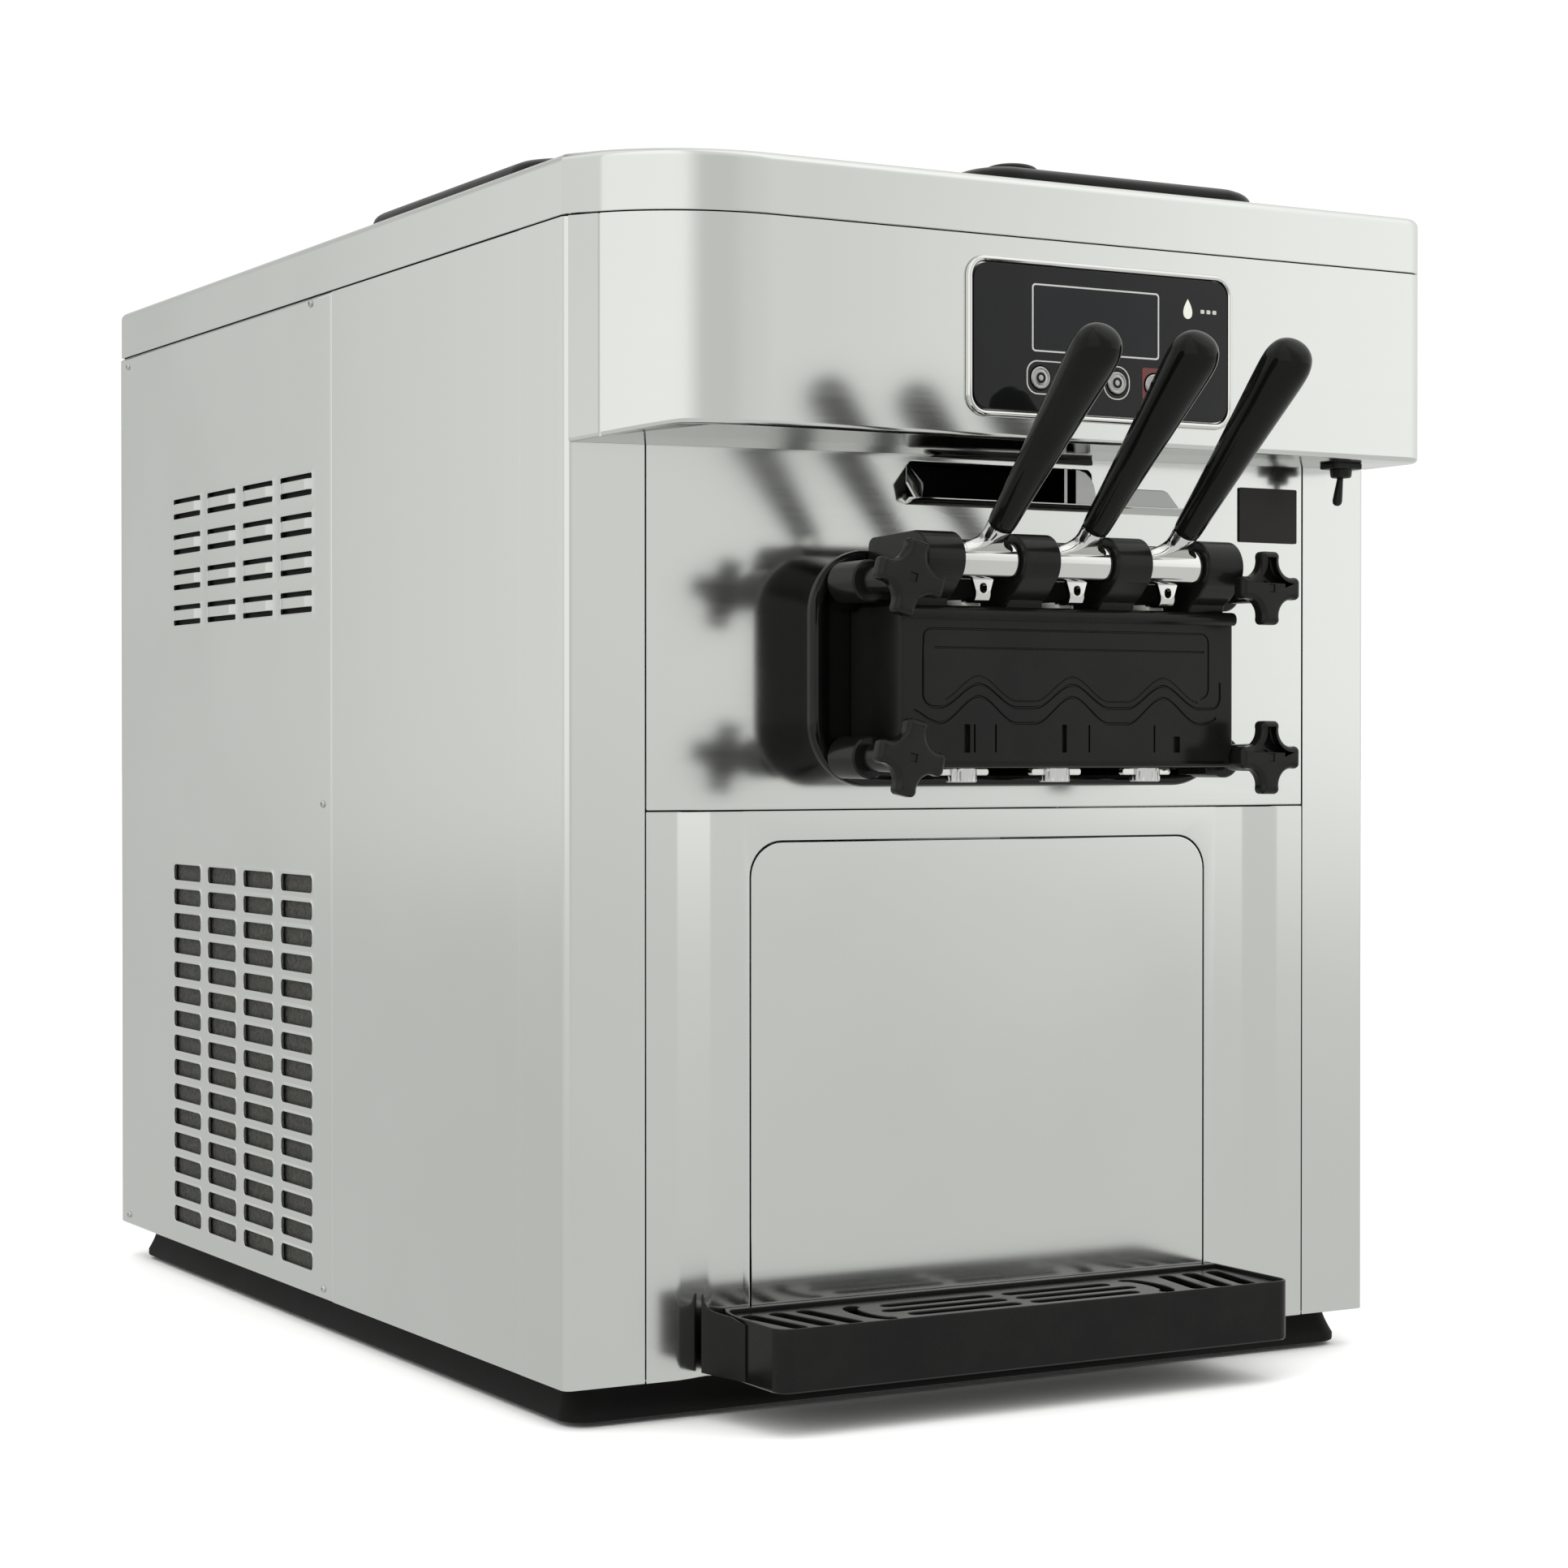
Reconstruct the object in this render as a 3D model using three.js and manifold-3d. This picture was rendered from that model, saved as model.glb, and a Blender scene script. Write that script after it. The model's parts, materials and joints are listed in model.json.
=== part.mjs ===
// Countertop soft serve machine: three draw handles, twin freezing cylinders, twin hoppers.
// Millimetres, +Z up, front faces -Y, left is -X. Numbers are measured from the centre of the
// cabinet; the whole group is then moved so that the origin is on the counter plane under the
// middle of the machine, handles included.
import * as THREE from "three";
import { mergeVertices } from "three/addons/utils/BufferGeometryUtils.js";
import Module from "manifold-3d";

const wasm = await Module();
wasm.setup();

// ---------- driving dimensions ----------
const HALF_W = 270; // half the cabinet width
const FRONT_Y = -368; // cabinet front face
const REAR_Y = 368; // cabinet rear face
const CASE_Z = 23; // lower edge of the casing panels, top of the plinth
const MID_Z = 330.2; // seam between the upper and lower front panels
const SEAM_Z = 646; // seam between casing and top cover
const TOP_Z = 678.7; // top of the top cover
const SHEET = 1.5; // sheet thickness
const GAP = 0.4; // running and resting gap between pieces
const JOINT = 0.6; // gap between neighbouring casing panels
const POST_X = 221.4; // half width of the centre front panels
const HOOD_Y = -423; // hood front face
const HOOD_Z = 534; // hood underside
const PIVOT_Y = -450; // draw handle axis
const PIVOT_Z = 465;
const LEVER_DEG = 43.6; // handle above horizontal when closed
const BORE_Y = -430; // valve bores
const PITCH = 61; // spacing of the three valves
const VALVES = [["left", -PITCH], ["centre", 0], ["right", PITCH]];
// clamping studs of the valve body, [x, z]: left upper, left lower, right upper, right lower
const STUDS = [-119, 116].flatMap((x) => [453.5, 359].map((z) => [x, z]));
const CYL_X = 55; // freezing cylinders
const CYL_Z = 407;
const SIDES = [["left", -1], ["right", 1]];
const HOPPERS = [ // hopper centres, the left one set back
  { side: "left", x: -120, y: -100 },
  { side: "right", x: 120, y: -205 },
];

// ---------- solid helpers ----------
const manifold = (vertices, triangles) => new wasm.Manifold(new wasm.Mesh({
  numProp: 3,
  vertProperties: new Float32Array(vertices),
  triVerts: new Uint32Array(triangles),
}));
const solid = (source) => {
  const bare = new THREE.BufferGeometry()
    .setAttribute("position", source.attributes.position)
    .setIndex(source.index);
  const merged = mergeVertices(bare, 1e-4);
  return manifold(merged.attributes.position.array, merged.index.array);
};
const geometry = (body) => {
  const mesh = body.getMesh();
  const flat = new THREE.BufferGeometry()
    .setAttribute("position", new THREE.BufferAttribute(new Float32Array(mesh.vertProperties), 3))
    .setIndex(new THREE.BufferAttribute(new Uint32Array(mesh.triVerts), 1))
    .toNonIndexed();
  flat.computeVertexNormals();
  return flat;
};
const join = (...bodies) => bodies.reduce((sum, body) => sum.add(body));
const cut = (body, ...tools) => tools.reduce((rest, tool) => rest.subtract(tool), body);

const box = (x0, x1, y0, y1, z0, z1) => solid(new THREE.BoxGeometry(x1 - x0, y1 - y0, z1 - z0)
  .translate((x0 + x1) / 2, (y0 + y1) / 2, (z0 + z1) / 2));

// cylinders along each axis; endR is the radius at the high end
const cylX = (r, x0, x1, y, z, n = 16) => solid(new THREE.CylinderGeometry(r, r, x1 - x0, n)
  .rotateZ(Math.PI / 2).translate((x0 + x1) / 2, y, z));
const cylY = (r, y0, y1, x, z, n = 16, endR = r) =>
  solid(new THREE.CylinderGeometry(endR, r, y1 - y0, n).translate(x, (y0 + y1) / 2, z));
const cylZ = (r, z0, z1, x, y, n = 16, endR = r) =>
  solid(new THREE.CylinderGeometry(endR, r, z1 - z0, n)
    .rotateX(Math.PI / 2).translate(x, y, (z0 + z1) / 2));

// prisms along each axis: outline in y, z; in x, z; in x, y
const vectors = (points) => points.map((p) => new THREE.Vector2(...p));
const extrude = (points, depth) => new THREE.ExtrudeGeometry(
  new THREE.Shape(vectors(points)), { depth, bevelEnabled: false, steps: 1 });
const BASIS_X = new THREE.Matrix4().makeBasis(
  new THREE.Vector3(0, 1, 0), new THREE.Vector3(0, 0, 1), new THREE.Vector3(1, 0, 0));
const prismX = (points, x0, x1) =>
  solid(extrude(points, x1 - x0).applyMatrix4(BASIS_X).translate(x0, 0, 0));
const prismY = (points, y0, y1) =>
  solid(extrude(points, y1 - y0).rotateX(Math.PI / 2).translate(0, y1, 0));
const prismZ = (points, z0, z1) => solid(extrude(points, z1 - z0).translate(0, 0, z0));

// turned about +Y; profile is [radius, y] from the lower end up
const turned = (profile, n) => new THREE.LatheGeometry(vectors(profile), n);

const arc = (cx, cy, r, from, to, n) => Array.from({ length: n + 1 }, (_, i) => {
  const angle = THREE.MathUtils.degToRad(from + ((to - from) * i) / n);
  return [cx + r * Math.cos(angle), cy + r * Math.sin(angle)];
});
const roundRect = (x0, x1, y0, y1, r, n = 3) => [
  ...arc(x1 - r, y1 - r, r, 0, 90, n),
  ...arc(x0 + r, y1 - r, r, 90, 180, n),
  ...arc(x0 + r, y0 + r, r, 180, 270, n),
  ...arc(x1 - r, y0 + r, r, 270, 360, n),
];
// [x0, x1, low, high] shrunk by an inset
const insetRect = ([x0, x1, low, high], inset, r, n) =>
  roundRect(x0 + inset, x1 - inset, low + inset, high - inset, r, n);

// Skin through rings [outline, level], all anticlockwise with equal point counts.
const loft = (rings, toPoint) => {
  const count = rings[0][0].length;
  const last = (rings.length - 1) * count;
  const vertices = rings.flatMap(([outline, level]) =>
    outline.flatMap(([u, v]) => toPoint(u, v, level)));
  const triangles = [];
  for (let base = 0; base < last; base += count) {
    for (let i = 0; i < count; i++) {
      const next = (i + 1) % count;
      const above = base + count;
      triangles.push(base + i, base + next, above + next, base + i, above + next, above + i);
    }
  }
  const cap = ([outline]) => THREE.ShapeUtils.triangulateShape(vectors(outline), []);
  for (const [a, b, c] of cap(rings[0])) triangles.push(c, b, a);
  for (const [a, b, c] of cap(rings.at(-1))) triangles.push(last + a, last + b, last + c);
  return manifold(vertices, triangles);
};
const loftZ = (rings) => loft(rings, (x, y, z) => [x, y, z]); // rings listed upward
const loftY = (rings) => loft(rings, (x, z, y) => [x, y, z]); // rings listed rear to front

// ---------- materials ----------
const material = (color, roughness, metalness) =>
  new THREE.MeshStandardMaterial({ color, roughness, metalness });
const STEEL = material(0xc6c8c2, 0.35, 1.0); // brushed stainless casing
const CHROME = material(0xdcdcd8, 0.12, 1.0);
const BLACK = material(0x1c1c1b, 0.35, 0.0); // gloss black plastic
const SATIN = material(0x242423, 0.5, 0.0); // satin black plastic
const GLASS = material(0x1e1e20, 0.2, 0.0);
const RUBBER = material(0x161616, 0.8, 0.0);
const COATED = material(0x2a2b2b, 0.6, 0.4);
const ALUMINIUM = material(0xa9abab, 0.45, 1.0);
const WHITE = material(0xe6e6e0, 0.4, 0.0);

const machine = new THREE.Group();
machine.name = "soft_serve_machine";
const place = (name, shape, finish, parent = machine) => {
  const mesh = new THREE.Mesh(shape.isBufferGeometry ? shape : geometry(shape), finish);
  mesh.name = name;
  parent.add(mesh);
  return mesh;
};

// ---------- plinth, feet, deck ----------
const RAIL = { x: 210, halfW: 20, halfL: 300, height: 3 };
const railBox = (sign, clear, z1) => {
  const x = sign * RAIL.x;
  const halfW = RAIL.halfW + clear;
  return box(x - halfW, x + halfW, -RAIL.halfL - clear, RAIL.halfL + clear, 0, z1);
};

const plinth = () => {
  // flared skirt: the lower outline is wider than the upper
  const low = roundRect(-262, 262, -358, 345, 16);
  const high = roundRect(-257, 257, -352, 339, 14);
  return cut(
    loftZ([[low, 2.5], [low, 7], [high, CASE_Z - GAP]]),
    box(-252, 252, -347, 334, 7, 40),
    ...SIDES.map(([, sign]) => railBox(sign, 1, RAIL.height + GAP)),
  );
};

const deck = () => {
  const x = 262;
  const [y0, y1] = [-350, 20];
  return join(
    box(-x, x, y0, y1, 322, 324),
    box(-x, -x + 2, y0, y1, 290, 323),
    box(x - 2, x, y0, y1, 290, 323),
  );
};

place("base_plinth", plinth(), RUBBER);
for (const [side, sign] of SIDES) place(`foot_rail_${side}`, railBox(sign, 0, RAIL.height), RUBBER);
place("equipment_deck", deck(), ALUMINIUM);

// ---------- casing sides ----------
const PANEL_TOP = SEAM_Z - GAP;
const SIDE_Y = [-311.6, -39.6]; // front and rear edges of the plain side panel
const SLOT_Y = [[-8, 48.3], [61.5, 115], [130, 183.6], [198, 252]]; // vent slot columns
const SLOT_ROWS = [
  { count: 4, top: 536.1, pitch: 24.4, height: 13.2 },
  { count: 15, top: 284.8, pitch: 16.85, height: 10.8 },
];
// x span of a side sheet, widened by extra both ways
const sideSpan = (sign, extra = 0) => {
  const [inner, outer] = [HALF_W - SHEET - extra, HALF_W + extra];
  return sign < 0 ? [-outer, -inner] : [inner, outer];
};

const ventPanel = (sign) => {
  let panel = box(...sideSpan(sign), SIDE_Y[1] + JOINT, REAR_Y, CASE_Z, PANEL_TOP);
  for (const [y0, y1] of SLOT_Y) {
    for (const { count, top, pitch, height } of SLOT_ROWS) {
      for (let k = 0; k < count; k++) {
        const z1 = top - pitch * k;
        panel = panel.subtract(box(...sideSpan(sign, 2), y0, y1, z1 - height, z1));
      }
    }
  }
  return panel;
};

// one sheet folded round the front corner
const cornerPost = (sign) => {
  const r = 5;
  const [cx, cy] = [HALF_W - r, FRONT_Y + r];
  const rearY = SIDE_Y[0] - JOINT;
  const points = [
    [HALF_W, rearY],
    ...arc(cx, cy, r, 360, 270, 3),
    [POST_X + GAP, FRONT_Y],
    [POST_X + GAP, FRONT_Y + SHEET],
    ...arc(cx, cy, r - SHEET, 270, 360, 3),
    [HALF_W - SHEET, rearY],
  ];
  return prismZ(points.map(([x, y]) => [sign * x, y]), CASE_Z, PANEL_TOP);
};

for (const [side, sign] of SIDES) {
  place(`side_panel_${side}`, box(...sideSpan(sign), ...SIDE_Y, CASE_Z, PANEL_TOP), STEEL);
  place(`vent_panel_${side}`, ventPanel(sign), STEEL);
  place(`corner_post_${side}`, cornerPost(sign), STEEL);
}

// ---------- rear panel, hood, top cover ----------
const rearPanel = () => {
  const halfW = HALF_W - SHEET - GAP;
  const [y0, y1] = [REAR_Y - 5, REAR_Y + 5];
  let panel = box(-halfW, halfW, REAR_Y - SHEET, REAR_Y, CASE_Z, PANEL_TOP);
  for (const x of [-150, 10]) {
    for (let k = 0; k < 9; k++) {
      const z1 = 330 - 24 * k;
      panel = panel.subtract(box(x, x + 140, y0, y1, z1 - 9, z1));
    }
  }
  return panel.subtract(cylY(9, y0, y1, 205, 70, 12)); // cable outlet
};

const HOOD_LEFT = { width: 95, r: 106.8 }; // left corner: curve's width from the side, radius
const HOOD_RIGHT = { x: 273, r: 16 }; // right side and its corner radius
const WINDOW = [-46, 117, 553, 626.5]; // control window: x0, x1, z0, z1
const TOGGLE_X = 227;
const TOGGLE_Y = -398;

// plan of the hood and top cover, offset inward by inset
const hoodOutline = (inset, rearY) => [
  [HOOD_RIGHT.x - inset, rearY],
  [-HALF_W + inset, rearY],
  // the side ends at a crease, then a narrow facet leads into the curve
  [-HALF_W + inset, -365 + 0.55 * inset],
  ...arc(-HALF_W + HOOD_LEFT.width, HOOD_Y + HOOD_LEFT.r, HOOD_LEFT.r - inset, 219.5, 270, 8),
  ...arc(HOOD_RIGHT.x - HOOD_RIGHT.r, HOOD_Y + HOOD_RIGHT.r, HOOD_RIGHT.r - inset, 270, 360, 4),
];

const hood = () => cut(
  prismZ(hoodOutline(0, FRONT_Y + 60), HOOD_Z, PANEL_TOP),
  box(-300, 300, FRONT_Y - GAP, FRONT_Y + 80, 400, 700), // all behind the cabinet front
  prismZ(hoodOutline(SHEET, FRONT_Y + 61), HOOD_Z + SHEET, SEAM_Z + 5),
  prismY(insetRect(WINDOW, 0, 9, 3), HOOD_Y - 5, HOOD_Y + 5),
  cylZ(6.4, HOOD_Z - 3, HOOD_Z + 4, TOGGLE_X, TOGGLE_Y, 12), // toggle hole
);

const aroundHopper = ({ x, y }, halfX, halfY, r) =>
  roundRect(x - halfX, x + halfX, y - halfY, y + halfY, r);

const topCover = () => cut(
  prismZ(hoodOutline(0, REAR_Y), SEAM_Z, TOP_Z),
  prismZ(hoodOutline(SHEET, REAR_Y - SHEET), SEAM_Z - 5, TOP_Z - SHEET),
  ...HOPPERS.map((h) => prismZ(aroundHopper(h, 91.5, 121.5, 16), TOP_Z - 8, TOP_Z + 8)),
);

place("rear_panel", rearPanel(), STEEL);
place("hood_fascia", hood(), STEEL);
place("top_cover", topCover(), STEEL);

// ---------- front panels ----------
// pocket above the dispensing head: mouth x span, narrower floor x span, height span, depth
const POCKET = { x0: -58.6, x1: 128.6, floor0: -14, floor1: 78, z0: 504, z1: 525, depth: 26 };
const SERVICE = { x0: -155, x1: 151, z0: 28.6, z1: 312.5, r: 20 };
const RECESS = 4; // depth of the lower front panel's recess

const frontUpper = () => cut(
  box(-POST_X, POST_X, FRONT_Y, FRONT_Y + SHEET, MID_Z + JOINT / 2, PANEL_TOP),
  prismY(roundRect(-112, 112, 355, 459, 26), FRONT_Y - 5, FRONT_Y + 5),
  box(POCKET.x0 - GAP, POCKET.x1 + GAP, FRONT_Y - 5, FRONT_Y + 5,
    POCKET.z0 - GAP, POCKET.z1 + GAP),
);

// round upper corners, square lower ones
const serviceOutline = (grow) => {
  const { r } = SERVICE;
  const [x0, x1] = [SERVICE.x0 - grow, SERVICE.x1 + grow];
  const [z0, z1] = [SERVICE.z0 - grow, SERVICE.z1 + grow];
  return [
    ...arc(x1 - r, z1 - r, r, 0, 90, 4),
    ...arc(x0 + r, z1 - r, r, 90, 180, 4),
    [x0, z0],
    [x1, z0],
  ];
};

// shallow recess between two sloped bands
const frontLower = () => {
  const front = [
    [-POST_X, FRONT_Y], [-202, FRONT_Y], [-181, FRONT_Y + RECESS],
    [181, FRONT_Y + RECESS], [202, FRONT_Y], [POST_X, FRONT_Y],
  ];
  const back = front.map(([x, y]) => [x, y + SHEET]).reverse();
  return cut(
    prismZ([...front, ...back], CASE_Z, MID_Z - JOINT / 2),
    prismY(serviceOutline(JOINT), FRONT_Y - 10, FRONT_Y + 20),
  );
};

const pocket = () => {
  const { x0, x1, floor0, floor1, z0, z1, depth } = POCKET;
  const rearY = FRONT_Y + depth;
  const outer = [
    [x0, FRONT_Y - 0.6], [floor0 - 1, rearY], [floor1 + 1, rearY], [x1, FRONT_Y - 0.6],
  ];
  const inner = [
    [x0 + 4, FRONT_Y - 2], [floor0 + 1.2, rearY - SHEET],
    [floor1 - 1.2, rearY - SHEET], [x1 - 4, FRONT_Y - 2],
  ];
  const lip = [ // formed lip in front of the mouth: y, z
    [FRONT_Y - 0.5, 500.5], [FRONT_Y - 0.5, 502.9], [FRONT_Y - 11, 504.4], [FRONT_Y - 12, 503.6],
  ];
  return join(
    cut(prismZ(outer, z0, z1), prismZ(inner, z0 + 1, z1 - 1)),
    prismX(lip, -60, 131),
    box(-40, 110, FRONT_Y - 0.9, FRONT_Y - 0.5, 501, 505), // joins lip and cup
  );
};

place("front_upper_panel", frontUpper(), STEEL);
place("front_lower_panel", frontLower(), STEEL);
place("service_panel",
  prismY(serviceOutline(0), FRONT_Y + RECESS, FRONT_Y + RECESS + SHEET), STEEL);
place("handle_switch_pocket", pocket(), CHROME);
place("label_plate", box(174, 216.6, FRONT_Y - 1.3, FRONT_Y - GAP, 487, 519.4), SATIN);

// ---------- control panel ----------
const BEZEL = [-54, 126, 545.8, 634]; // x0, x1, z0, z1
const BEZEL_Y = HOOD_Y - 3; // front face of the bezel
const BUTTON_X = [0, 1, 2, 3].map((i) => -6.5 + 25.7 * i);
const BUTTON_Z = 568.6;
const BUTTON_R = 6.4;

const bezel = () => cut(
  prismY(insetRect(BEZEL, 0, 12, 4), BEZEL_Y, HOOD_Y - 0.3),
  prismY(insetRect(BEZEL, 3.6, 9.5, 4), BEZEL_Y - 2, HOOD_Y + 3),
);

const controlPanel = () => cut(
  join(
    prismY(insetRect(BEZEL, 4, 9.2, 4), BEZEL_Y + 0.6, HOOD_Y - 0.4),
    prismY(insetRect(WINDOW, 1, 8, 2), HOOD_Y - 0.5, HOOD_Y + 12), // housing behind the window
  ),
  ...BUTTON_X.map((x) => cylY(BUTTON_R + 0.5, BEZEL_Y - 2, HOOD_Y + 2, x, BUTTON_Z)),
);

const toggleBody = () => {
  const [x, y] = [TOGGLE_X, TOGGLE_Y];
  return cut(
    join(
      prismZ(roundRect(x - 11, x + 11, y - 8, y + 8, 3, 2), HOOD_Z - 4, HOOD_Z - GAP), // nut
      cylZ(5, HOOD_Z - 9, HOOD_Z + 22, x, y, 12, 5.6),
    ),
    cylZ(6.2, HOOD_Z - 20, HOOD_Z - 5, x, y, 10, 3.6),
  );
};

// hangs down, its tip leaning right
const toggleLever = () => solid(
  turned([[0, -20], [2.4, -19], [2.9, -17], [1.8, 0], [0, 0.6]], 10)
    .rotateX(Math.PI / 2).rotateY((-9 * Math.PI) / 180));

place("control_bezel", bezel(), CHROME);
place("control_panel", controlPanel(), GLASS);
BUTTON_X.forEach((x, i) => {
  place(`button_${i + 1}`, cylY(BUTTON_R, BEZEL_Y - 0.4, BEZEL_Y + 3.4, x, BUTTON_Z), SATIN);
});
place("toggle_switch_body", toggleBody(), SATIN);
place("toggle_lever", toggleLever(), SATIN).position.set(TOGGLE_X, TOGGLE_Y, HOOD_Z - 5.8);

// ---------- dispensing head ----------
const BARREL_R = 15; // barrel round the handle axis
const BARREL_X = 104; // its half width
const BODY_X = 110; // half width of the valve body
const BODY_Y = -447; // its front face
const BODY_REAR_Y = -394.4;
const BOSS_Y = -431.5; // front of the stud bosses

// shroud: a shallow dish, wider at its rim than where it meets the front panel, with the studs
const doorFlange = () => {
  const rect = [-138, 138, 343, 472];
  const rim = insetRect(rect, 0, 35, 5);
  const foot = roundRect(-118, 118, 351, 463, 30, 5);
  const floor = roundRect(-124, 124, 352, 463, 19, 5);
  const dish = cut(
    join(
      loftY([[foot, FRONT_Y - GAP], [rim, -396]]),
      loftY([[rim, -397.9], [insetRect(rect, 4, 31, 5), -402]]),
      prismY(rim, -398, -395.9),
    ),
    loftY([[floor, -394], [insetRect(rect, 7, 28, 5), -403]]),
    prismY(roundRect(-108, 108, 356, 458, 24), -389, FRONT_Y + 2),
    ...[-CYL_X, CYL_X].map((x) => cylY(45.6, -400, -380, x, CYL_Z)),
  );
  return join(dish, ...STUDS.map(([x, z]) => cylY(4, -457, -393, x, z, 8)));
};

const valveBody = () => {
  const ledge = [ // rolled ledge over the front plate: y, z
    [-449.5, 433.5], [-451, 436], [-450, 439], [-446, 440.6], [-403, 440.6], [-403, 433.5],
  ];
  const barrel = [ // handle barrel, hooks forward over the ledge: y, z
    [-403, 440], [-403, 474], [-407, 478.4],
    ...arc(PIVOT_Y, PIVOT_Z, BARREL_R, 86, 236, 7),
    [BODY_Y, 444.5], [-446, 439.6],
  ];
  const bosses = STUDS.flatMap(([x, z]) => {
    const inner = Math.sign(x) * 103;
    return [
      cylY(11.5, BOSS_Y, -404, x, z, 12),
      box(Math.min(x, inner), Math.max(x, inner), BOSS_Y, -404, z - 10, z + 10),
    ];
  });
  return cut(
    join(
      box(-BODY_X, BODY_X, BODY_Y, BODY_REAR_Y, 353.6, 440),
      box(-BARREL_X, BARREL_X, -402.4, BODY_REAR_Y, 430, 461),
      prismX(ledge, -BODY_X, BODY_X),
      prismX(barrel, -BARREL_X, BARREL_X),
      ...bosses,
    ),
    ...VALVES.flatMap(([, x]) => [
      box(x - 18.9, x + 18.9, -480, -417, 440.8, 490), // room for the handle hub
      cylZ(11, 340, 446, x, BORE_Y, 14),
    ]),
    ...STUDS.flatMap(([x, z]) => [
      cylY(4.6, -440, -390, x, z, 8),
      cylY(8.8, -470, BOSS_Y, x, z, 10),
    ]),
    cylX(4.4, -120, 120, PIVOT_Y, PIVOT_Z, 12),
    // inlets from the freezing cylinders to the valve bores
    ...[-PITCH, PITCH].map((x) => cylY(6, BORE_Y, -390, x, 398, 8)),
    box(-50, 50, -403, -390, 390, 402),
    cylY(5, BORE_Y, -395, 0, 396, 8),
  );
};

// handle pieces are made along +Y from the handle axis, then tilted to point forward and up
const TILT = new THREE.Matrix4().makeRotationX(Math.PI - (LEVER_DEG * Math.PI) / 180);

const handleArm = () => {
  const stem = [
    new THREE.BoxGeometry(15, 16, 8).translate(0, 15, 0),
    new THREE.CylinderGeometry(5.6, 7.4, 9, 12).translate(0, 22, 0),
    new THREE.CylinderGeometry(4.8, 4.8, 34, 12).translate(0, 41, 0),
  ].map((part) => solid(part.applyMatrix4(TILT)));
  const hub = cylX(10.5, -18.3, 18.3, 0, 0);
  const tongue = cut(box(-4.5, 4.5, -2.5, 2.5, -23.4, -7.6), cylY(1.9, -5, 5, 0, -18, 8));
  return cut(join(hub, ...stem, tongue), cylX(4.5, -30, 30, 0, 0, 12));
};

// the profile starts up the blind bore that takes the arm's rod
const GRIP_PROFILE = [
  [0, 60], [5.3, 60], [5.3, 26.5], [7.4, 26.5], [8, 28.5], [10, 80],
  [13.2, 138], [13.3, 148], [11.6, 155], [7, 160.2], [0, 162],
];
const handleGrip = () => turned(GRIP_PROFILE, 14).applyMatrix4(TILT);

// piston with a slot and cross pin for the handle's tongue
const plunger = (x) => join(
  cut(
    cylZ(10.4, 356, 444, x, BORE_Y, 14),
    box(x - 5.4, x + 5.4, BORE_Y - 14, BORE_Y + 14, 431, 460),
  ),
  cylX(2.4, x - 7, x + 7, -425, 441, 8),
);

const nozzle = (x) => cut(
  join(
    cylZ(8.6, 345.5, 353.2, x, BORE_Y, 14),
    box(x - 16.5, x + 16.5, BORE_Y - 2.2, BORE_Y + 2.2, 349.2, 353.2),
  ),
  cylZ(4.6, 340, 350.5, x, BORE_Y, 10),
  cylZ(4.6, 350, 360, x, BORE_Y, 10, 7.4),
);

// four blunt lobes with hollow sides between them, 41 mm across
const starKnob = () => {
  const lobe = [
    ...arc(17.5, -3.3, 3, -90, 0, 2),
    ...arc(17.5, 3.3, 3, 0, 90, 2),
    ...arc(15.49, 15.49, 9.41, -96, -174, 3),
  ];
  const star = [0, 1, 2, 3].flatMap((k) => {
    const [cos, sin] = [Math.cos((Math.PI * k) / 2), Math.sin((Math.PI * k) / 2)];
    return lobe.map(([u, v]) => [u * cos - v * sin, u * sin + v * cos]);
  });
  return cut(
    join(prismY(star, -9, 0), cylY(8, -1, 31, 0, 0, 12, 7.4)),
    cylY(4.5, -3.5, 40, 0, 0, 8),
  );
};

place("freezer_door_flange", doorFlange(), BLACK);
place("valve_body", valveBody(), SATIN);
place("pivot_shaft", cylX(4, -102.5, 102.5, PIVOT_Y, PIVOT_Z, 12), CHROME);
for (const [name, x] of VALVES) {
  const lever = new THREE.Group(); // frame on the handle axis
  lever.position.set(x, PIVOT_Y, PIVOT_Z);
  machine.add(lever);
  place(`handle_arm_${name}`, handleArm(), CHROME, lever);
  place(`handle_grip_${name}`, handleGrip(), SATIN, lever);
  place(`plunger_${name}`, plunger(x), WHITE);
  place(`nozzle_${name}`, nozzle(x), CHROME);
}
const knobGeometry = geometry(starKnob());
const KNOBS = [["left_upper", 15], ["left_lower", 12], ["right_upper", 0], ["right_lower", 0]];
KNOBS.forEach(([name, degrees], i) => { // in the order of STUDS
  const [x, z] = STUDS[i];
  const knob = place(`star_knob_${name}`, knobGeometry, SATIN);
  knob.position.set(x, -465.8, z);
  knob.rotation.y = (degrees * Math.PI) / 180;
});

// ---------- drip tray ----------
const TRAY = { x0: -180, x1: 158, y0: -440, y1: -364.6, z0: 24.5, z1: 59 };

const trayOutline = (inset) => {
  const { x0, x1, y0, y1 } = TRAY;
  return [
    [x1 - inset, y1 - inset], [x0 + 8 + inset, y1 - inset],
    [x0 + 1.5 + inset, y1 - 20], [x0 + inset, y1 - 30],
    ...arc(x0 + 9, y0 + 9, 9 - inset, 180, 270, 3),
    ...arc(x1 - 9, y0 + 9, 9 - inset, 270, 360, 3),
  ];
};
// the rear wall is thicker
const trayInner = (inset) =>
  trayOutline(inset).map(([x, y]) => [x, Math.min(y, TRAY.y1 - 3.6 - inset)]);

const dripTray = () => cut(
  prismZ(trayOutline(0), TRAY.z0, TRAY.z1),
  prismZ(trayInner(3), TRAY.z0 + 3, TRAY.z1 - 5),
  prismZ(trayInner(1.8), TRAY.z1 - 6, TRAY.z1 + 5), // seat of the grille
);

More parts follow.
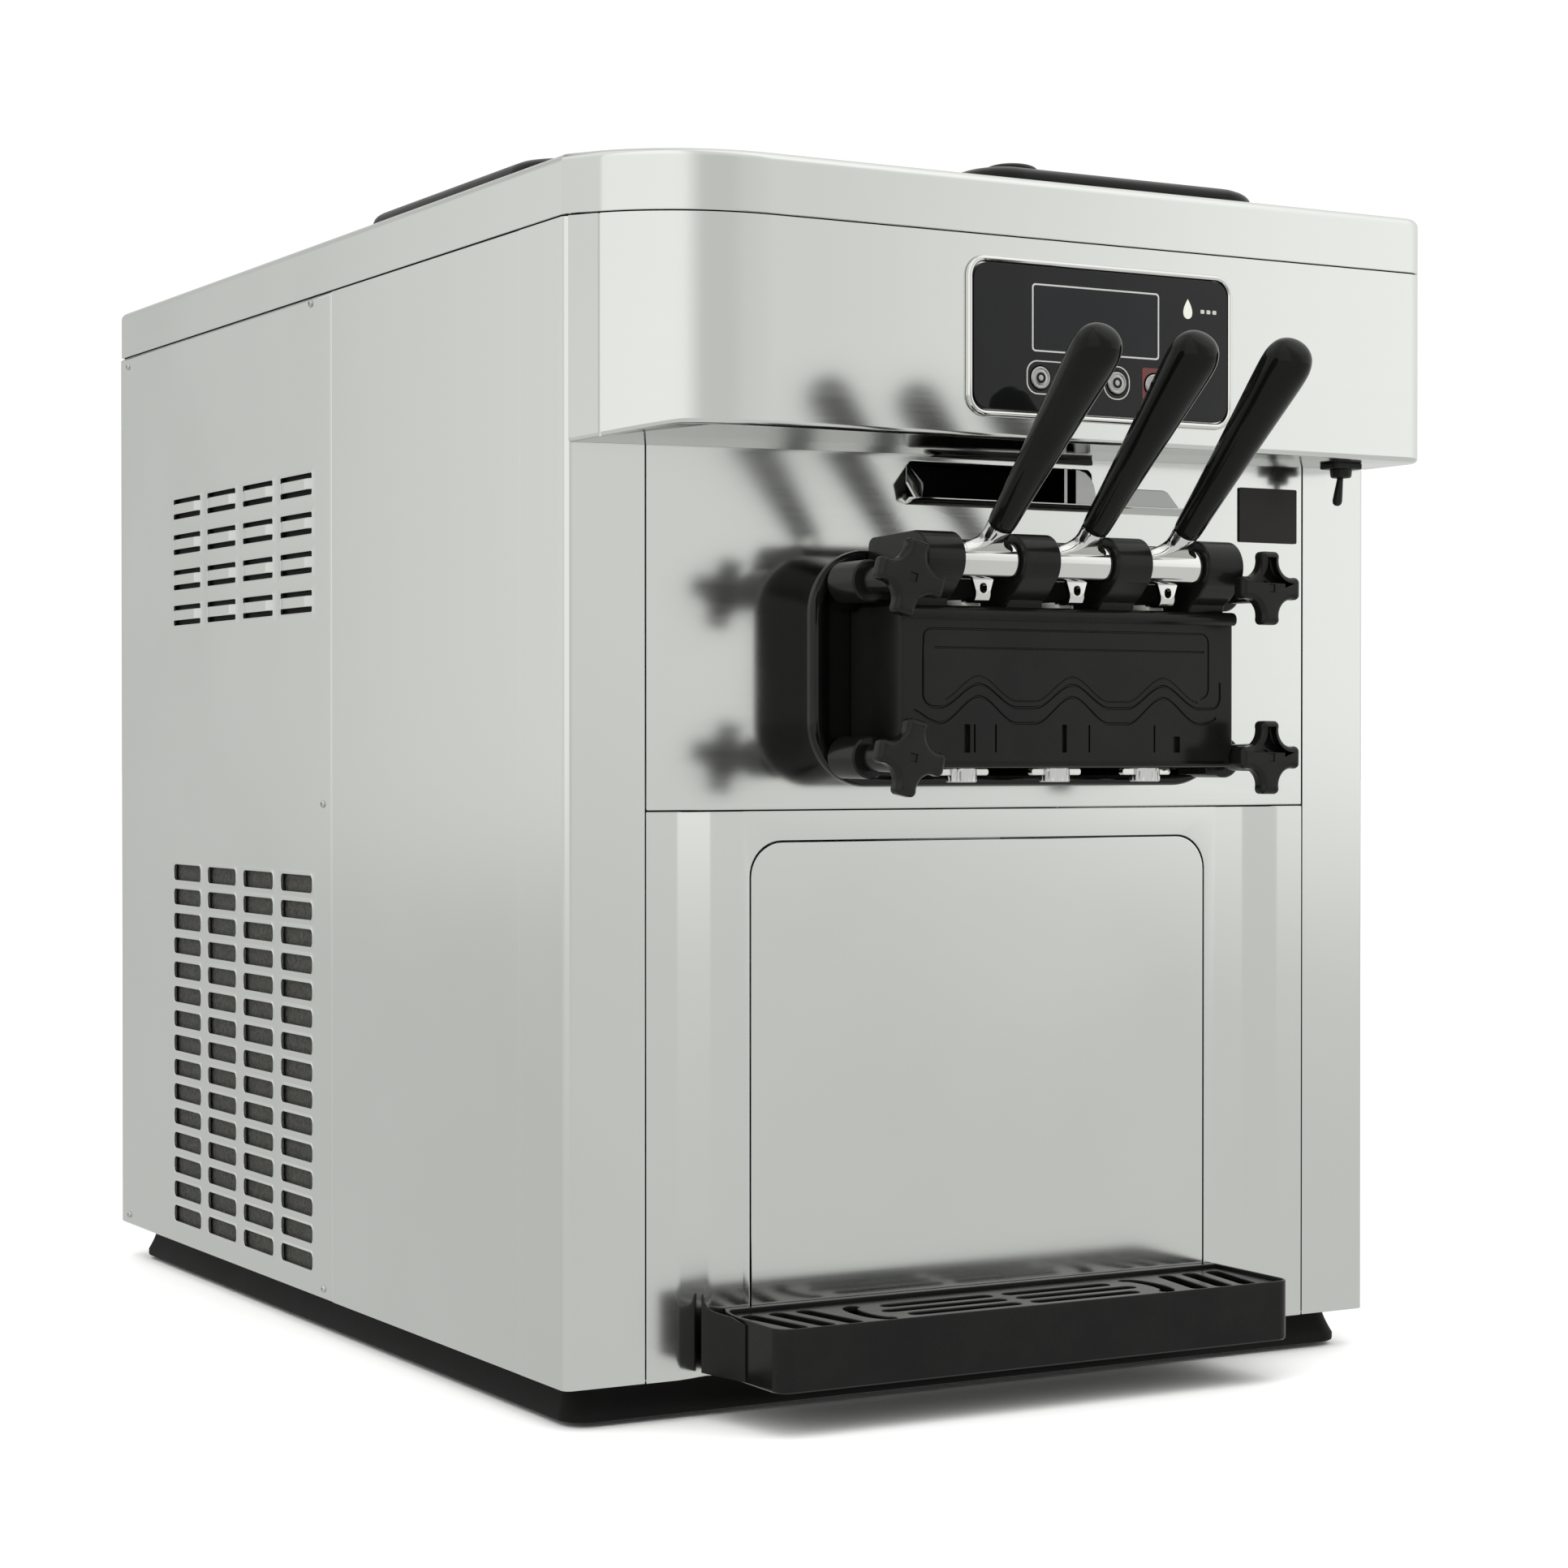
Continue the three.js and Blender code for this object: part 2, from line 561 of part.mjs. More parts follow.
const dripGrille = () => {
  const { x0, x1, y0, y1, z1 } = TRAY;
  const midX = (x0 + x1) / 2;
  const midY = (y0 + y1) / 2 - 1.8;
  const slot = (x, halfW, low, high) => box(x - halfW, x + halfW, low, high, z1 - 12, z1 + 5);
  const slots = [];
  for (const [, sign] of SIDES) {
    for (let k = 0; k < 4; k++) {
      slots.push(slot(midX + sign * (147 - 17 * k), 4.5, y0 + 14, y1 - 17.6));
    }
    for (const y of [midY - 12, midY, midY + 12]) {
      slots.push(slot(midX + sign * 40, 34, y - 3.5, y + 3.5));
    }
  }
  return cut(prismZ(trayInner(2.4), z1 - 5.6, z1 - 2.2), ...slots);
};

place("drip_tray", dripTray(), SATIN);
place("drip_grille", dripGrille(), SATIN);

// ---------- hoppers and lids ----------
const hopper = (h) => {
  const tub = (inset, z0, z1) =>
    prismZ(aroundHopper(h, 90 - inset, 120 - inset, 15 - inset), z0, z1);
  return cut(
    join(tub(0, 520, TOP_Z + 0.5), prismZ(aroundHopper(h, 96, 126, 20), TOP_Z + 0.4, TOP_Z + 1.9)),
    tub(SHEET, 520 + SHEET, TOP_Z + 10),
    cylZ(11, 510, 530, h.x * 0.62, h.y - 88, 10), // outlet
  );
};

const LID_STEPS = [[0, 0, 14.5], [2, 14.4, 19.5], [6.5, 19.4, 23.4], [16, 23.3, 25.8]]; // inset, z0, z1
const LID_KNOB = [[0, 24], [14, 24.6], [12.5, 32], [17, 40], [15, 48], [0, 50.4]];

const hopperLid = (h) => {
  const base = TOP_Z + 2.4;
  const layer = ([inset, z0, z1]) =>
    prismZ(aroundHopper(h, 104 - inset, 130 - inset, 30 - inset), base + z0, base + z1);
  const shell = cut(join(...LID_STEPS.map(layer)), layer([4, -1, 10]));
  const knob = turned(LID_KNOB, 14).rotateX(Math.PI / 2).translate(h.x, h.y, base);
  return shell.add(solid(knob));
};

for (const h of HOPPERS) {
  place(`hopper_${h.side}`, hopper(h), STEEL);
  place(`hopper_lid_${h.side}`, hopperLid(h), SATIN);
}

// ---------- freezing cylinders, beaters, drive ----------
const BELT_Y = 30;
const MOTOR_Z = 262;
const BEATER_PULLEY_R = 38;
const MOTOR_PULLEY_R = 15.2;

const freezingCylinders = () => cut(
  join(
    box(-108, 108, -356, -352, 348, 466), // front mounting plate
    ...[-CYL_X, CYL_X].map((x) => cylY(50, -388.4, -120, x, CYL_Z, 18)),
    box(-100, 100, -160, -156, 330, 360),
    box(-60, 60, -160, -156, 350, 400),
  ),
  ...[-CYL_X, CYL_X].flatMap((x) => [
    cylY(47, -420, -126, x, CYL_Z, 18),
    cylY(9, -130, -110, x, CYL_Z, 12),
  ]),
);

// blade twisted one full turn along its length, with shaft and pulley
const beater = (x) => {
  const length = 240;
  const blade = new THREE.BoxGeometry(86, length, 6, 2, 12, 1);
  const points = blade.attributes.position;
  for (let i = 0; i < points.count; i++) {
    const [px, py, pz] = [points.getX(i), points.getY(i), points.getZ(i)];
    const angle = (py / length) * Math.PI * 2;
    const [cos, sin] = [Math.cos(angle), Math.sin(angle)];
    points.setXYZ(i, px * cos - pz * sin, py, px * sin + pz * cos);
  }
  return join(
    solid(blade.translate(x, -256, CYL_Z)),
    cylY(9, -378, -136.5, x, CYL_Z, 12),
    cylY(7, -138, BELT_Y + 12, x, CYL_Z, 12),
    cylY(BEATER_PULLEY_R, BELT_Y - 9, BELT_Y + 9, x, CYL_Z, 20),
  );
};

// convex hull of the three pulley circles, each grown by offset
const beltOutline = (offset) => {
  const points = [
    [-CYL_X, CYL_Z, BEATER_PULLEY_R],
    [0, MOTOR_Z, MOTOR_PULLEY_R],
    [CYL_X, CYL_Z, BEATER_PULLEY_R],
  ].flatMap(([x, z, r]) => arc(x, z, r + offset, 0, 345, 23));
  points.sort((a, b) => a[0] - b[0] || a[1] - b[1]);
  const cross = (o, a, b) => (a[0] - o[0]) * (b[1] - o[1]) - (a[1] - o[1]) * (b[0] - o[0]);
  return [points, [...points].reverse()].flatMap((pass) => {
    const half = [];
    for (const point of pass) {
      while (half.length > 1 && cross(half.at(-2), half.at(-1), point) <= 1e-6) half.pop();
      half.push(point);
    }
    return half.slice(0, -1);
  });
};

// round the two beater pulleys and the motor pulley below them
const driveBelt = () => cut(
  prismY(beltOutline(4.5), BELT_Y - 6, BELT_Y + 6),
  prismY(beltOutline(0.6), BELT_Y - 20, BELT_Y + 20),
);

const motorPulley = () => join(
  cylY(MOTOR_PULLEY_R, BELT_Y - 9, BELT_Y + 9, 0, MOTOR_Z, 20),
  cylY(6, BELT_Y, BELT_Y + 34, 0, MOTOR_Z, 12),
);

// motor on a hollow stand
const driveMotor = () => cut(
  join(cylY(56, 60, 235, 0, MOTOR_Z, 24), box(-50, 50, 80, 215, 8, MOTOR_Z - 40)),
  box(-44, 44, 60, 235, 14, MOTOR_Z - 62),
  cylY(6.6, 50, 80, 0, MOTOR_Z, 12),
);

place("freezing_cylinders", freezingCylinders(), STEEL);
for (const [side, sign] of SIDES) place(`beater_${side}`, beater(sign * CYL_X), WHITE);
place("drive_belt", driveBelt(), RUBBER);
place("motor_pulley", motorPulley(), ALUMINIUM);
place("drive_motor", driveMotor(), COATED);

// ---------- cooling ----------
const FAN_Y = 125; // fan axis, at the middle of the condenser
const FAN_Z = 163;
const COIL = [FAN_Y - 137, FAN_Y + 137, FAN_Z - 133, FAN_Z + 133]; // condenser y0, y1, z0, z1
const DOME = [[0, 0], [70, 0], [74, 12], [74, 125], [66, 150], [40, 168], [0, 174]];

const compressor = () => join(
  solid(turned(DOME, 24).rotateX(Math.PI / 2).translate(150, 150, 12)),
  box(70, 230, 70, 230, 7.6, 13),
);

const condenser = () => {
  const finRows = Array.from({ length: 8 }, (_, k) =>
    box(-262, -250, -8, 258, 42 + 31 * k, 60 + 31 * k));
  const block = join(cut(box(-258, -232, ...COIL), ...finRows), box(-233, -229, ...COIL));
  return join(
    cut(block, cylX(116, -234, -220, FAN_Y, FAN_Z, 24)),
    box(-232, -229, FAN_Y - 125, FAN_Y + 125, FAN_Z - 5, FAN_Z + 5), // bar that carries the fan
    cylX(22, -232, -222, FAN_Y, FAN_Z),
    box(-250, -226, 0, 20, 7.6, 34), // feet
    box(-250, -226, 230, 250, 7.6, 34),
  );
};

const fan = () => {
  const blades = Array.from({ length: 5 }, (_, k) => solid(new THREE.BoxGeometry(2.4, 52, 88)
    .rotateZ(0.45).translate(0, 0, 62).rotateX((2 * Math.PI * k) / 5)
    .translate(-207, FAN_Y, FAN_Z)));
  return join(cylX(20, -220, -196, FAN_Y, FAN_Z), ...blades);
};

place("compressor", compressor(), COATED);
place("condenser", condenser(), ALUMINIUM);
place("fan_blades", fan(), SATIN);

// the origin is on the counter under the middle of the whole machine, handles included
machine.position.set(-1.5, 101.42, 0);

export default machine;
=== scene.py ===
# Counter-top dispensing machine: a sheet-metal cabinet with two lidded hoppers on top,
# a projecting hood with a control panel, a three-valve head with draw handles, and a drip tray.
# Lengths are in mm from the centre of the cabinet at floor level:
# +X is right as seen from the front, -Y is the front, +Z is up.
import bpy
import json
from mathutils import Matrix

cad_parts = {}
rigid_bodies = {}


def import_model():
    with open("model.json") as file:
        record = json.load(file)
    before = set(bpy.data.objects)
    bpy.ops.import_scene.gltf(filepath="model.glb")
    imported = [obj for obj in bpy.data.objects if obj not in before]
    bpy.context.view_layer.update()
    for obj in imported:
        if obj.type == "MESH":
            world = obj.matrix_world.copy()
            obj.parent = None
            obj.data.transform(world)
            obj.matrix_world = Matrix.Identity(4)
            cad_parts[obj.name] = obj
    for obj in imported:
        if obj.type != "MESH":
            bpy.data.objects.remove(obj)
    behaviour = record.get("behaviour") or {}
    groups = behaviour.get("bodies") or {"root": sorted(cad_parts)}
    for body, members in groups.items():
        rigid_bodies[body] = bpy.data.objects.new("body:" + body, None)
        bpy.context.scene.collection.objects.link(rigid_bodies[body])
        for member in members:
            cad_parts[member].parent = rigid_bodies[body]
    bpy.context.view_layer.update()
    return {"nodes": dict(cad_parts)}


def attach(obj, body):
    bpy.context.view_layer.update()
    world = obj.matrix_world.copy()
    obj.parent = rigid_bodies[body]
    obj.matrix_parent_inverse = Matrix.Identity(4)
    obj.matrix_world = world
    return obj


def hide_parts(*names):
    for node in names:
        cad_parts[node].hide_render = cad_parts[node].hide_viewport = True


for leftover in list(bpy.data.objects):
    bpy.data.objects.remove(leftover)
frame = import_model()

import json
import math
import bmesh
from mathutils import Matrix, Vector
from mathutils.geometry import tessellate_polygon

# ------------------------------------------------------------------ driving dimensions
ORIGIN_X, ORIGIN_Y = -1.5, 101.42  # from the cabinet's centre to the CAD frame
SIDES = (("left", -1), ("right", 1))

HALF_WIDTH = 270
FRONT, REAR = -368, 368
SHEET = 1.5  # sheet thickness
SHEET_FOOT = 23
SEAM = 646  # foot of the top cover
SHEET_TOP = SEAM - 0.85
TOP = 678.7
FRONT_SPLIT = 330.2  # between the upper and lower front sheets
POST_EDGE = 221.4  # between the front sheets and the corner posts

HOOD_FRONT, HOOD_BOTTOM, HOOD_RIGHT = -423, 534, 273
HOOD_LEFT_RADIUS, HOOD_RIGHT_RADIUS = 106.8, 16
TOGGLE_X, TOGGLE_Y = 227, -398

PIVOT_Y, PIVOT_Z, PIVOT_BOSS = -450, 465, 15  # axis of the draw handles
PIVOT_BORE = 4.35
LEVER_TILT = math.radians(43.6)
VALVE_PITCH = 61
VALVES = {"left": -VALVE_PITCH, "centre": 0, "right": VALVE_PITCH}
BORE_Y = -430
BLOCK_FRONT = -447
# clamp studs: x, z, turn of the knob in degrees
STUDS = {
    "left_upper": (-119, 453.5, 15),
    "left_lower": (-119, 359, 12),
    "right_upper": (116, 453.5, 0),
    "right_lower": (116, 359, 0),
}
HOPPERS = {"left": (-120, -100), "right": (120, -205)}  # centre x, y
TRAY_X0, TRAY_X1 = -180, 158
TRAY_Y0, TRAY_Y1 = -440, -364.6
TRAY_Z0, TRAY_Z1 = 24.5, 59


def to_frame(x, y, z):
    """A place in mm from the cabinet's centre, in metres in the CAD frame."""
    return ((x + ORIGIN_X) * 0.001, (y + ORIGIN_Y) * 0.001, z * 0.001)


# ------------------------------------------------------------------ shader helpers
def set_inputs(tree, node, inputs):
    """Sets each input to a plain value, or links it when the value is a socket."""
    for key, value in inputs.items():
        if isinstance(value, bpy.types.NodeSocket):
            tree.links.new(value, node.inputs[key])
        else:
            node.inputs[key].default_value = value


def add_node(tree, kind, inputs, **settings):
    node = tree.nodes.new(kind)
    for key, value in settings.items():
        setattr(node, key, value)
    set_inputs(tree, node, inputs)
    return node


def new_material(name):
    material = bpy.data.materials.new(name)
    material.use_nodes = True
    tree = material.node_tree
    tree.nodes.clear()
    output = tree.nodes.new("ShaderNodeOutputMaterial")
    shader = tree.nodes.new("ShaderNodeBsdfPrincipled")
    tree.links.new(shader.outputs[0], output.inputs[0])
    return material, tree, shader


def noise(tree, scale, detail, roughness, stretch=(1, 1, 1)):
    place = add_node(tree, "ShaderNodeTexCoord", {}).outputs["Object"]
    mapping = add_node(tree, "ShaderNodeMapping", {"Scale": stretch, "Vector": place})
    return add_node(tree, "ShaderNodeTexNoise", {
        "Scale": scale, "Detail": detail, "Roughness": roughness,
        "Vector": mapping.outputs[0]}).outputs["Fac"]


def ramp(tree, value, span, result=(0.0, 1.0), curve="LINEAR"):
    """Maps the span of a value to the result range."""
    return add_node(tree, "ShaderNodeMapRange", {
        "From Min": span[0], "From Max": span[1], "To Min": result[0], "To Max": result[1],
        "Value": value}, interpolation_type=curve).outputs[0]


def mix_colours(tree, factor, first, second):
    return add_node(tree, "ShaderNodeMix", {6: (*first, 1), 7: (*second, 1), 0: factor},
                    data_type="RGBA").outputs[2]


def add_bump(tree, shader, height, strength, distance=0.0002):
    node = add_node(tree, "ShaderNodeBump",
                    {"Strength": strength, "Distance": distance, "Height": height})
    tree.links.new(node.outputs[0], shader.inputs["Normal"])


def calculate(tree, operation, first, second):
    return add_node(tree, "ShaderNodeMath", {0: first, 1: second},
                    operation=operation).outputs[0]


# ------------------------------------------------------------------ materials
def brushed(name, first, second, roughness, stretch, spread, anisotropy, bump):
    """Metal with hairlines along the axis of least stretch and a slow mottle."""
    material, tree, shader = new_material(name)
    fine = noise(tree, scale=1.0, detail=3, roughness=0.6, stretch=stretch)
    slow = noise(tree, scale=7.0, detail=3, roughness=0.5)
    mottle = ramp(tree, slow, span=(0.3, 0.7))
    colour = mix_colours(tree, mottle, first, second)
    hairlines = ramp(tree, fine, span=(0.25, 0.75),
                     result=(roughness - spread, roughness + spread))
    wipes = ramp(tree, slow, span=(0.3, 0.7), result=(-0.02, 0.02))
    set_inputs(tree, shader, {
        "Metallic": 1.0, "Base Color": colour, "Anisotropic": anisotropy,
        "Roughness": calculate(tree, "ADD", hairlines, wipes)})
    add_bump(tree, shader, fine, bump)
    return material


def plastic(name, first, second, roughness, grain, bump, coat=0.0, specular=0.5, spread=0.05):
    material, tree, shader = new_material(name)
    fine = noise(tree, scale=grain, detail=2, roughness=0.5)
    slow = noise(tree, scale=22.0, detail=4, roughness=0.6)
    mottle = ramp(tree, slow, span=(0.3, 0.7))
    set_inputs(tree, shader, {
        "Base Color": mix_colours(tree, mottle, first, second),
        "Roughness": ramp(tree, slow, span=(0.25, 0.75),
                          result=(roughness - spread, roughness + spread)),
        "Specular IOR Level": specular, "Coat Weight": coat, "Coat Roughness": 0.05})
    add_bump(tree, shader, fine, bump)
    return material


def filter_material():
    """Fibrous dust filter behind the vents."""
    material, tree, shader = new_material("air_filter_fibre")
    clumps = noise(tree, scale=420, detail=6, roughness=0.75)
    fibres = noise(tree, scale=1400, detail=3, roughness=0.7)
    both = calculate(tree, "MULTIPLY", clumps, fibres)
    colour = mix_colours(tree, ramp(tree, both, span=(0.16, 0.40)),
                         (0.008, 0.008, 0.007), (0.085, 0.082, 0.068))
    set_inputs(tree, shader, {"Base Color": colour, "Roughness": 0.8})
    add_bump(tree, shader, clumps, strength=0.6, distance=0.0008)
    return material


def stainless(name, stretch):
    return brushed(name, (0.655, 0.668, 0.645), (0.675, 0.686, 0.664), roughness=0.15,
                   stretch=stretch, spread=0.012, anisotropy=0.0, bump=0.008)


STEEL = stainless("brushed_stainless", (5, 5, 900))
STEEL_UPRIGHT = stainless("brushed_stainless_upright", (900, 900, 5))
CHROME = brushed("polished_chrome", (0.66, 0.66, 0.64), (0.72, 0.72, 0.70), roughness=0.07,
                 stretch=(140, 140, 140), spread=0.02, anisotropy=0.0, bump=0.012)
CASTING = brushed("polished_casting", (0.50, 0.50, 0.48), (0.60, 0.60, 0.58), roughness=0.2,
                  stretch=(260, 260, 260), spread=0.05, anisotropy=0.0, bump=0.08)
BUTTON_METAL = brushed("button_metal", (0.30, 0.30, 0.29), (0.44, 0.44, 0.43), roughness=0.22,
                       stretch=(260, 260, 260), spread=0.06, anisotropy=0.0, bump=0.08)
# near-black with almost no gloss: painted shade inside the pocket
POCKET_PAINTED_SHADE = plastic("unlit_lining", (0.0010, 0.0010, 0.0010), (0.0016, 0.0016, 0.0015),
                 roughness=0.6, grain=900, bump=0.05, specular=0.02)
GLOSS_BLACK = plastic("gloss_black_moulding", (0.002, 0.002, 0.002), (0.004, 0.004, 0.0035),
                      roughness=0.09, grain=500, bump=0.02, specular=0.32, spread=0.03)
SATIN_BLACK = plastic("semi_gloss_black_moulding", (0.006, 0.006, 0.0058),
                      (0.010, 0.010, 0.0092), roughness=0.34, grain=1500, bump=0.06,
                      specular=0.19)
GRIP_BLACK = plastic("grip_black", (0.003, 0.003, 0.0028), (0.0045, 0.0045, 0.004),
                     roughness=0.10, grain=900, bump=0.015, specular=0.15, spread=0.02)
LID_BLACK = plastic("lid_black", (0.003, 0.003, 0.003), (0.005, 0.005, 0.0045),
                    roughness=0.3, grain=900, bump=0.04, specular=0.12)
TRAY_BLACK = plastic("tray_black", (0.004, 0.004, 0.004), (0.007, 0.007, 0.0065),
                     roughness=0.27, grain=1200, bump=0.05, specular=0.17)
RUBBER = plastic("black_rubber", (0.003, 0.003, 0.003), (0.006, 0.006, 0.0055),
                 roughness=0.62, grain=700, bump=0.2, specular=0.11)
VALVE_BLACK = plastic("valve_black", (0.005, 0.005, 0.0048), (0.008, 0.008, 0.0074),
                      roughness=0.20, grain=1500, bump=0.03, specular=0.19, spread=0.03)
# darker steel that paints the grey shade of the sloped flap and cheek beside the pocket
PAINTED_SHADE_TAB_STEEL = brushed("steel_tab_painted_shade", (0.34, 0.345, 0.335), (0.40, 0.405, 0.395),
                    roughness=0.30, stretch=(5, 5, 900), spread=0.02, anisotropy=0.0, bump=0.02)
ENAMEL = plastic("black_enamel", (0.012, 0.012, 0.013), (0.022, 0.022, 0.024),
                 roughness=0.3, grain=300, bump=0.05, coat=0.3)
PANEL_GLASS = plastic("dark_panel_glass", (0.004, 0.0042, 0.0045), (0.006, 0.0062, 0.0065),
                      roughness=0.03, grain=2000, bump=0.002, specular=0.28, spread=0.008)
DISPLAY = plastic("display_window", (0.005, 0.0055, 0.0065), (0.007, 0.0078, 0.009),
                  roughness=0.03, grain=2000, bump=0.002, specular=0.27, spread=0.008)
SILVER_PRINT = plastic("silver_print", (0.40, 0.40, 0.385), (0.46, 0.46, 0.445),
                       roughness=0.35, grain=1500, bump=0.03)
PALE_PRINT = plastic("pale_print", (0.60, 0.60, 0.54), (0.68, 0.68, 0.61),
                     roughness=0.4, grain=1500, bump=0.03)
RED_PRINT = plastic("red_print", (0.085, 0.014, 0.012), (0.115, 0.020, 0.017),
                    roughness=0.35, grain=1500, bump=0.03)
LABEL = plastic("blank_label", (0.012, 0.011, 0.0105), (0.016, 0.0145, 0.0135),
                roughness=0.38, grain=1800, bump=0.05, specular=0.2)
WHITE_PLASTIC = plastic("food_grade_plastic", (0.72, 0.72, 0.68), (0.80, 0.80, 0.76),
                        roughness=0.42, grain=900, bump=0.08)
ALUMINIUM = brushed("mill_aluminium", (0.55, 0.56, 0.56), (0.62, 0.63, 0.63), roughness=0.38,
                    stretch=(40, 400, 400), spread=0.08, anisotropy=0.3, bump=0.1)
FILTER = filter_material()


# ------------------------------------------------------------------ outlines
# An outline is a counter-clockwise list of plane points. The functions rect, circle, arch,
# capsule and insets_of give an outline as a function of its inward offset.
def arc(cx, cy, radius, start, end, steps):
    angles = [math.radians(start + (end - start) * i / steps) for i in range(steps + 1)]
    return [(cx + radius * math.cos(a), cy + radius * math.sin(a)) for a in angles]


def quarter(steps):
    """Angles of a quarter turn, in radians."""
    return [math.pi / 2 * k / steps for k in range(steps + 1)]


def polar(cx, cy, radii):
    """Points at even angles round a centre, one for each radius."""
    turns = [2 * math.pi * i / len(radii) for i in range(len(radii))]
    return [(cx + r * math.cos(a), cy + r * math.sin(a)) for r, a in zip(radii, turns)]


def rect_points(x0, x1, y0, y1, radius, steps=8):
    """Rectangle with rounded corners."""
    radius = max(radius, 0.02)
    return (arc(x1 - radius, y1 - radius, radius, 0, 90, steps)
            + arc(x0 + radius, y1 - radius, radius, 90, 180, steps)
            + arc(x0 + radius, y0 + radius, radius, 180, 270, steps)
            + arc(x1 - radius, y0 + radius, radius, 270, 360, steps))


def rect(x0, x1, y0, y1, radius, steps=8):
    return lambda inset: rect_points(x0 + inset, x1 - inset, y0 + inset, y1 - inset,
                                     radius - inset, steps)


def circle(x, y, radius, sides=32):
    return lambda inset: polar(x, y, [radius - inset] * sides)


def arch(x0, x1, foot, top, radius):
    """Square below, rounded above."""
    def outline(inset):
        y = top - inset - radius
        return (arc(x1 - inset - radius, y, radius, 0, 90, 10)
                + arc(x0 + inset + radius, y, radius, 90, 180, 10)
                + [(x0 + inset, foot + inset), (x1 - inset, foot + inset)])
    return outline


def signed_area(points):
    following = points[1:] + points[:1]
    return 0.5 * sum(a[0] * b[1] - b[0] * a[1] for a, b in zip(points, following))


def ccw(points):
    return points if signed_area(points) > 0 else points[::-1]


def offset(points, inset):
    """Moves each point inward along the mean of its two edge normals."""
    sign = 1 if signed_area(points) > 0 else -1
    result = []
    for i in range(len(points)):
        before, here = Vector(points[i - 1]), Vector(points[i])
        after = Vector(points[(i + 1) % len(points)])
        edge_in, edge_out = here - before, after - here
        if edge_in.length < 1e-9 or edge_out.length < 1e-9:
            result.append(tuple(here))
            continue
        edge_in.normalize()
        edge_out.normalize()
        normal_in = Vector((-edge_in.y, edge_in.x)) * sign
        mean = normal_in + Vector((-edge_out.y, edge_out.x)) * sign
        if mean.length < 1e-6:
            mean = normal_in
        mean.normalize()
        reach = inset / max(0.35, mean.dot(normal_in))
        result.append((here.x + mean.x * reach, here.y + mean.y * reach))
    return result


def insets_of(points):
    return lambda inset: offset(points, inset) if inset else points


def turned(points, angle, cx=0, cy=0):
    cos, sin = math.cos(angle), math.sin(angle)
    return [(cx + u * cos - v * sin, cy + u * sin + v * cos) for u, v in points]


def lerp(start, end, t):
    return [(u + (p - u) * t, v + (q - v) * t) for (u, v), (p, q) in zip(start, end)]


def smoothstep(t):
    return t * t * (3 - 2 * t)


def sideways(path, reach):
    """At each point of a path, a vector of the given length to its left."""
    result = []
    for i in range(len(path)):
        before, after = Vector(path[max(i - 1, 0)]), Vector(path[min(i + 1, len(path) - 1)])
        along = (after - before).normalized()
        result.append(Vector((-along.y, along.x)) * reach)
    return result


def capsule(path, width):
    """Round-ended slot along a centre line."""
    def outline(inset):
        half = width / 2 - inset
        shifts = sideways(path, half)
        left = [(x + shift.x, y + shift.y) for (x, y), shift in zip(path, shifts)]
        right = [(x - shift.x, y - shift.y) for (x, y), shift in zip(path, shifts)]

        def end_cap(start, centre):
            first = math.atan2(start[1] - centre[1], start[0] - centre[0])
            angles = [first - math.pi * k / 6 for k in range(1, 6)]
            return [(centre[0] + half * math.cos(a), centre[1] + half * math.sin(a))
                    for a in angles]
        return ccw(left + end_cap(left[-1], path[-1]) + right[::-1]
                   + end_cap(right[0], path[0]))
    return outline


def spline(points, steps):
    """Catmull-Rom curve through pairs."""
    result = []
    last = len(points) - 1
    for i in range(last):
        near = (points[max(i - 1, 0)], points[i], points[i + 1], points[min(i + 2, last)])
        for k in range(steps):
            t = k / steps
            result.append(tuple(
                0.5 * (2 * b + (c - a) * t + (2 * a - 5 * b + 4 * c - d) * t * t
                       + (3 * b - a - 3 * c + d) * t ** 3)
                for a, b, c, d in zip(*near)))
    result.append(points[-1])
    return result


# ------------------------------------------------------------------ shapes
# planes: outline coordinates u, v and height w to x, y, z
def XY(u, v, w):
    return (u, v, w)


def XZ(u, v, w):
    return (u, w, v)


def YZ(u, v, w):
    return (w, u, v)


def levels(rows, plane=XY):
    """Rings of points from rows of (outline, height)."""
    return [[plane(u, v, w) for u, v in outline] for outline, w in rows]


TURNS = {"+X": (90, "Y"), "-X": (-90, "Y"), "+Y": (-90, "X"), "-Y": (90, "X"), "+Z": (0, "Z")}


def aim(axis, place):
    """Matrix that puts the origin at a place with local +Z along the axis."""
    degrees, about = TURNS[axis]
    return Matrix.Translation(place) @ Matrix.Rotation(math.radians(degrees), 4, about)


def rim_steps(low, high, low_rim, high_rim, segments):
    """Insets and heights up an edge that is rounded at both ends."""
    start = [(low_rim * (1 - math.sin(a)), low + low_rim * (1 - math.cos(a)))
             for a in quarter(segments)]
    end = [(high_rim * (1 - math.cos(a)), high - high_rim * (1 - math.sin(a)))
           for a in quarter(segments)]
    return (start if low_rim > 0 else [(0, low)]) + (end if high_rim > 0 else [(0, high)])


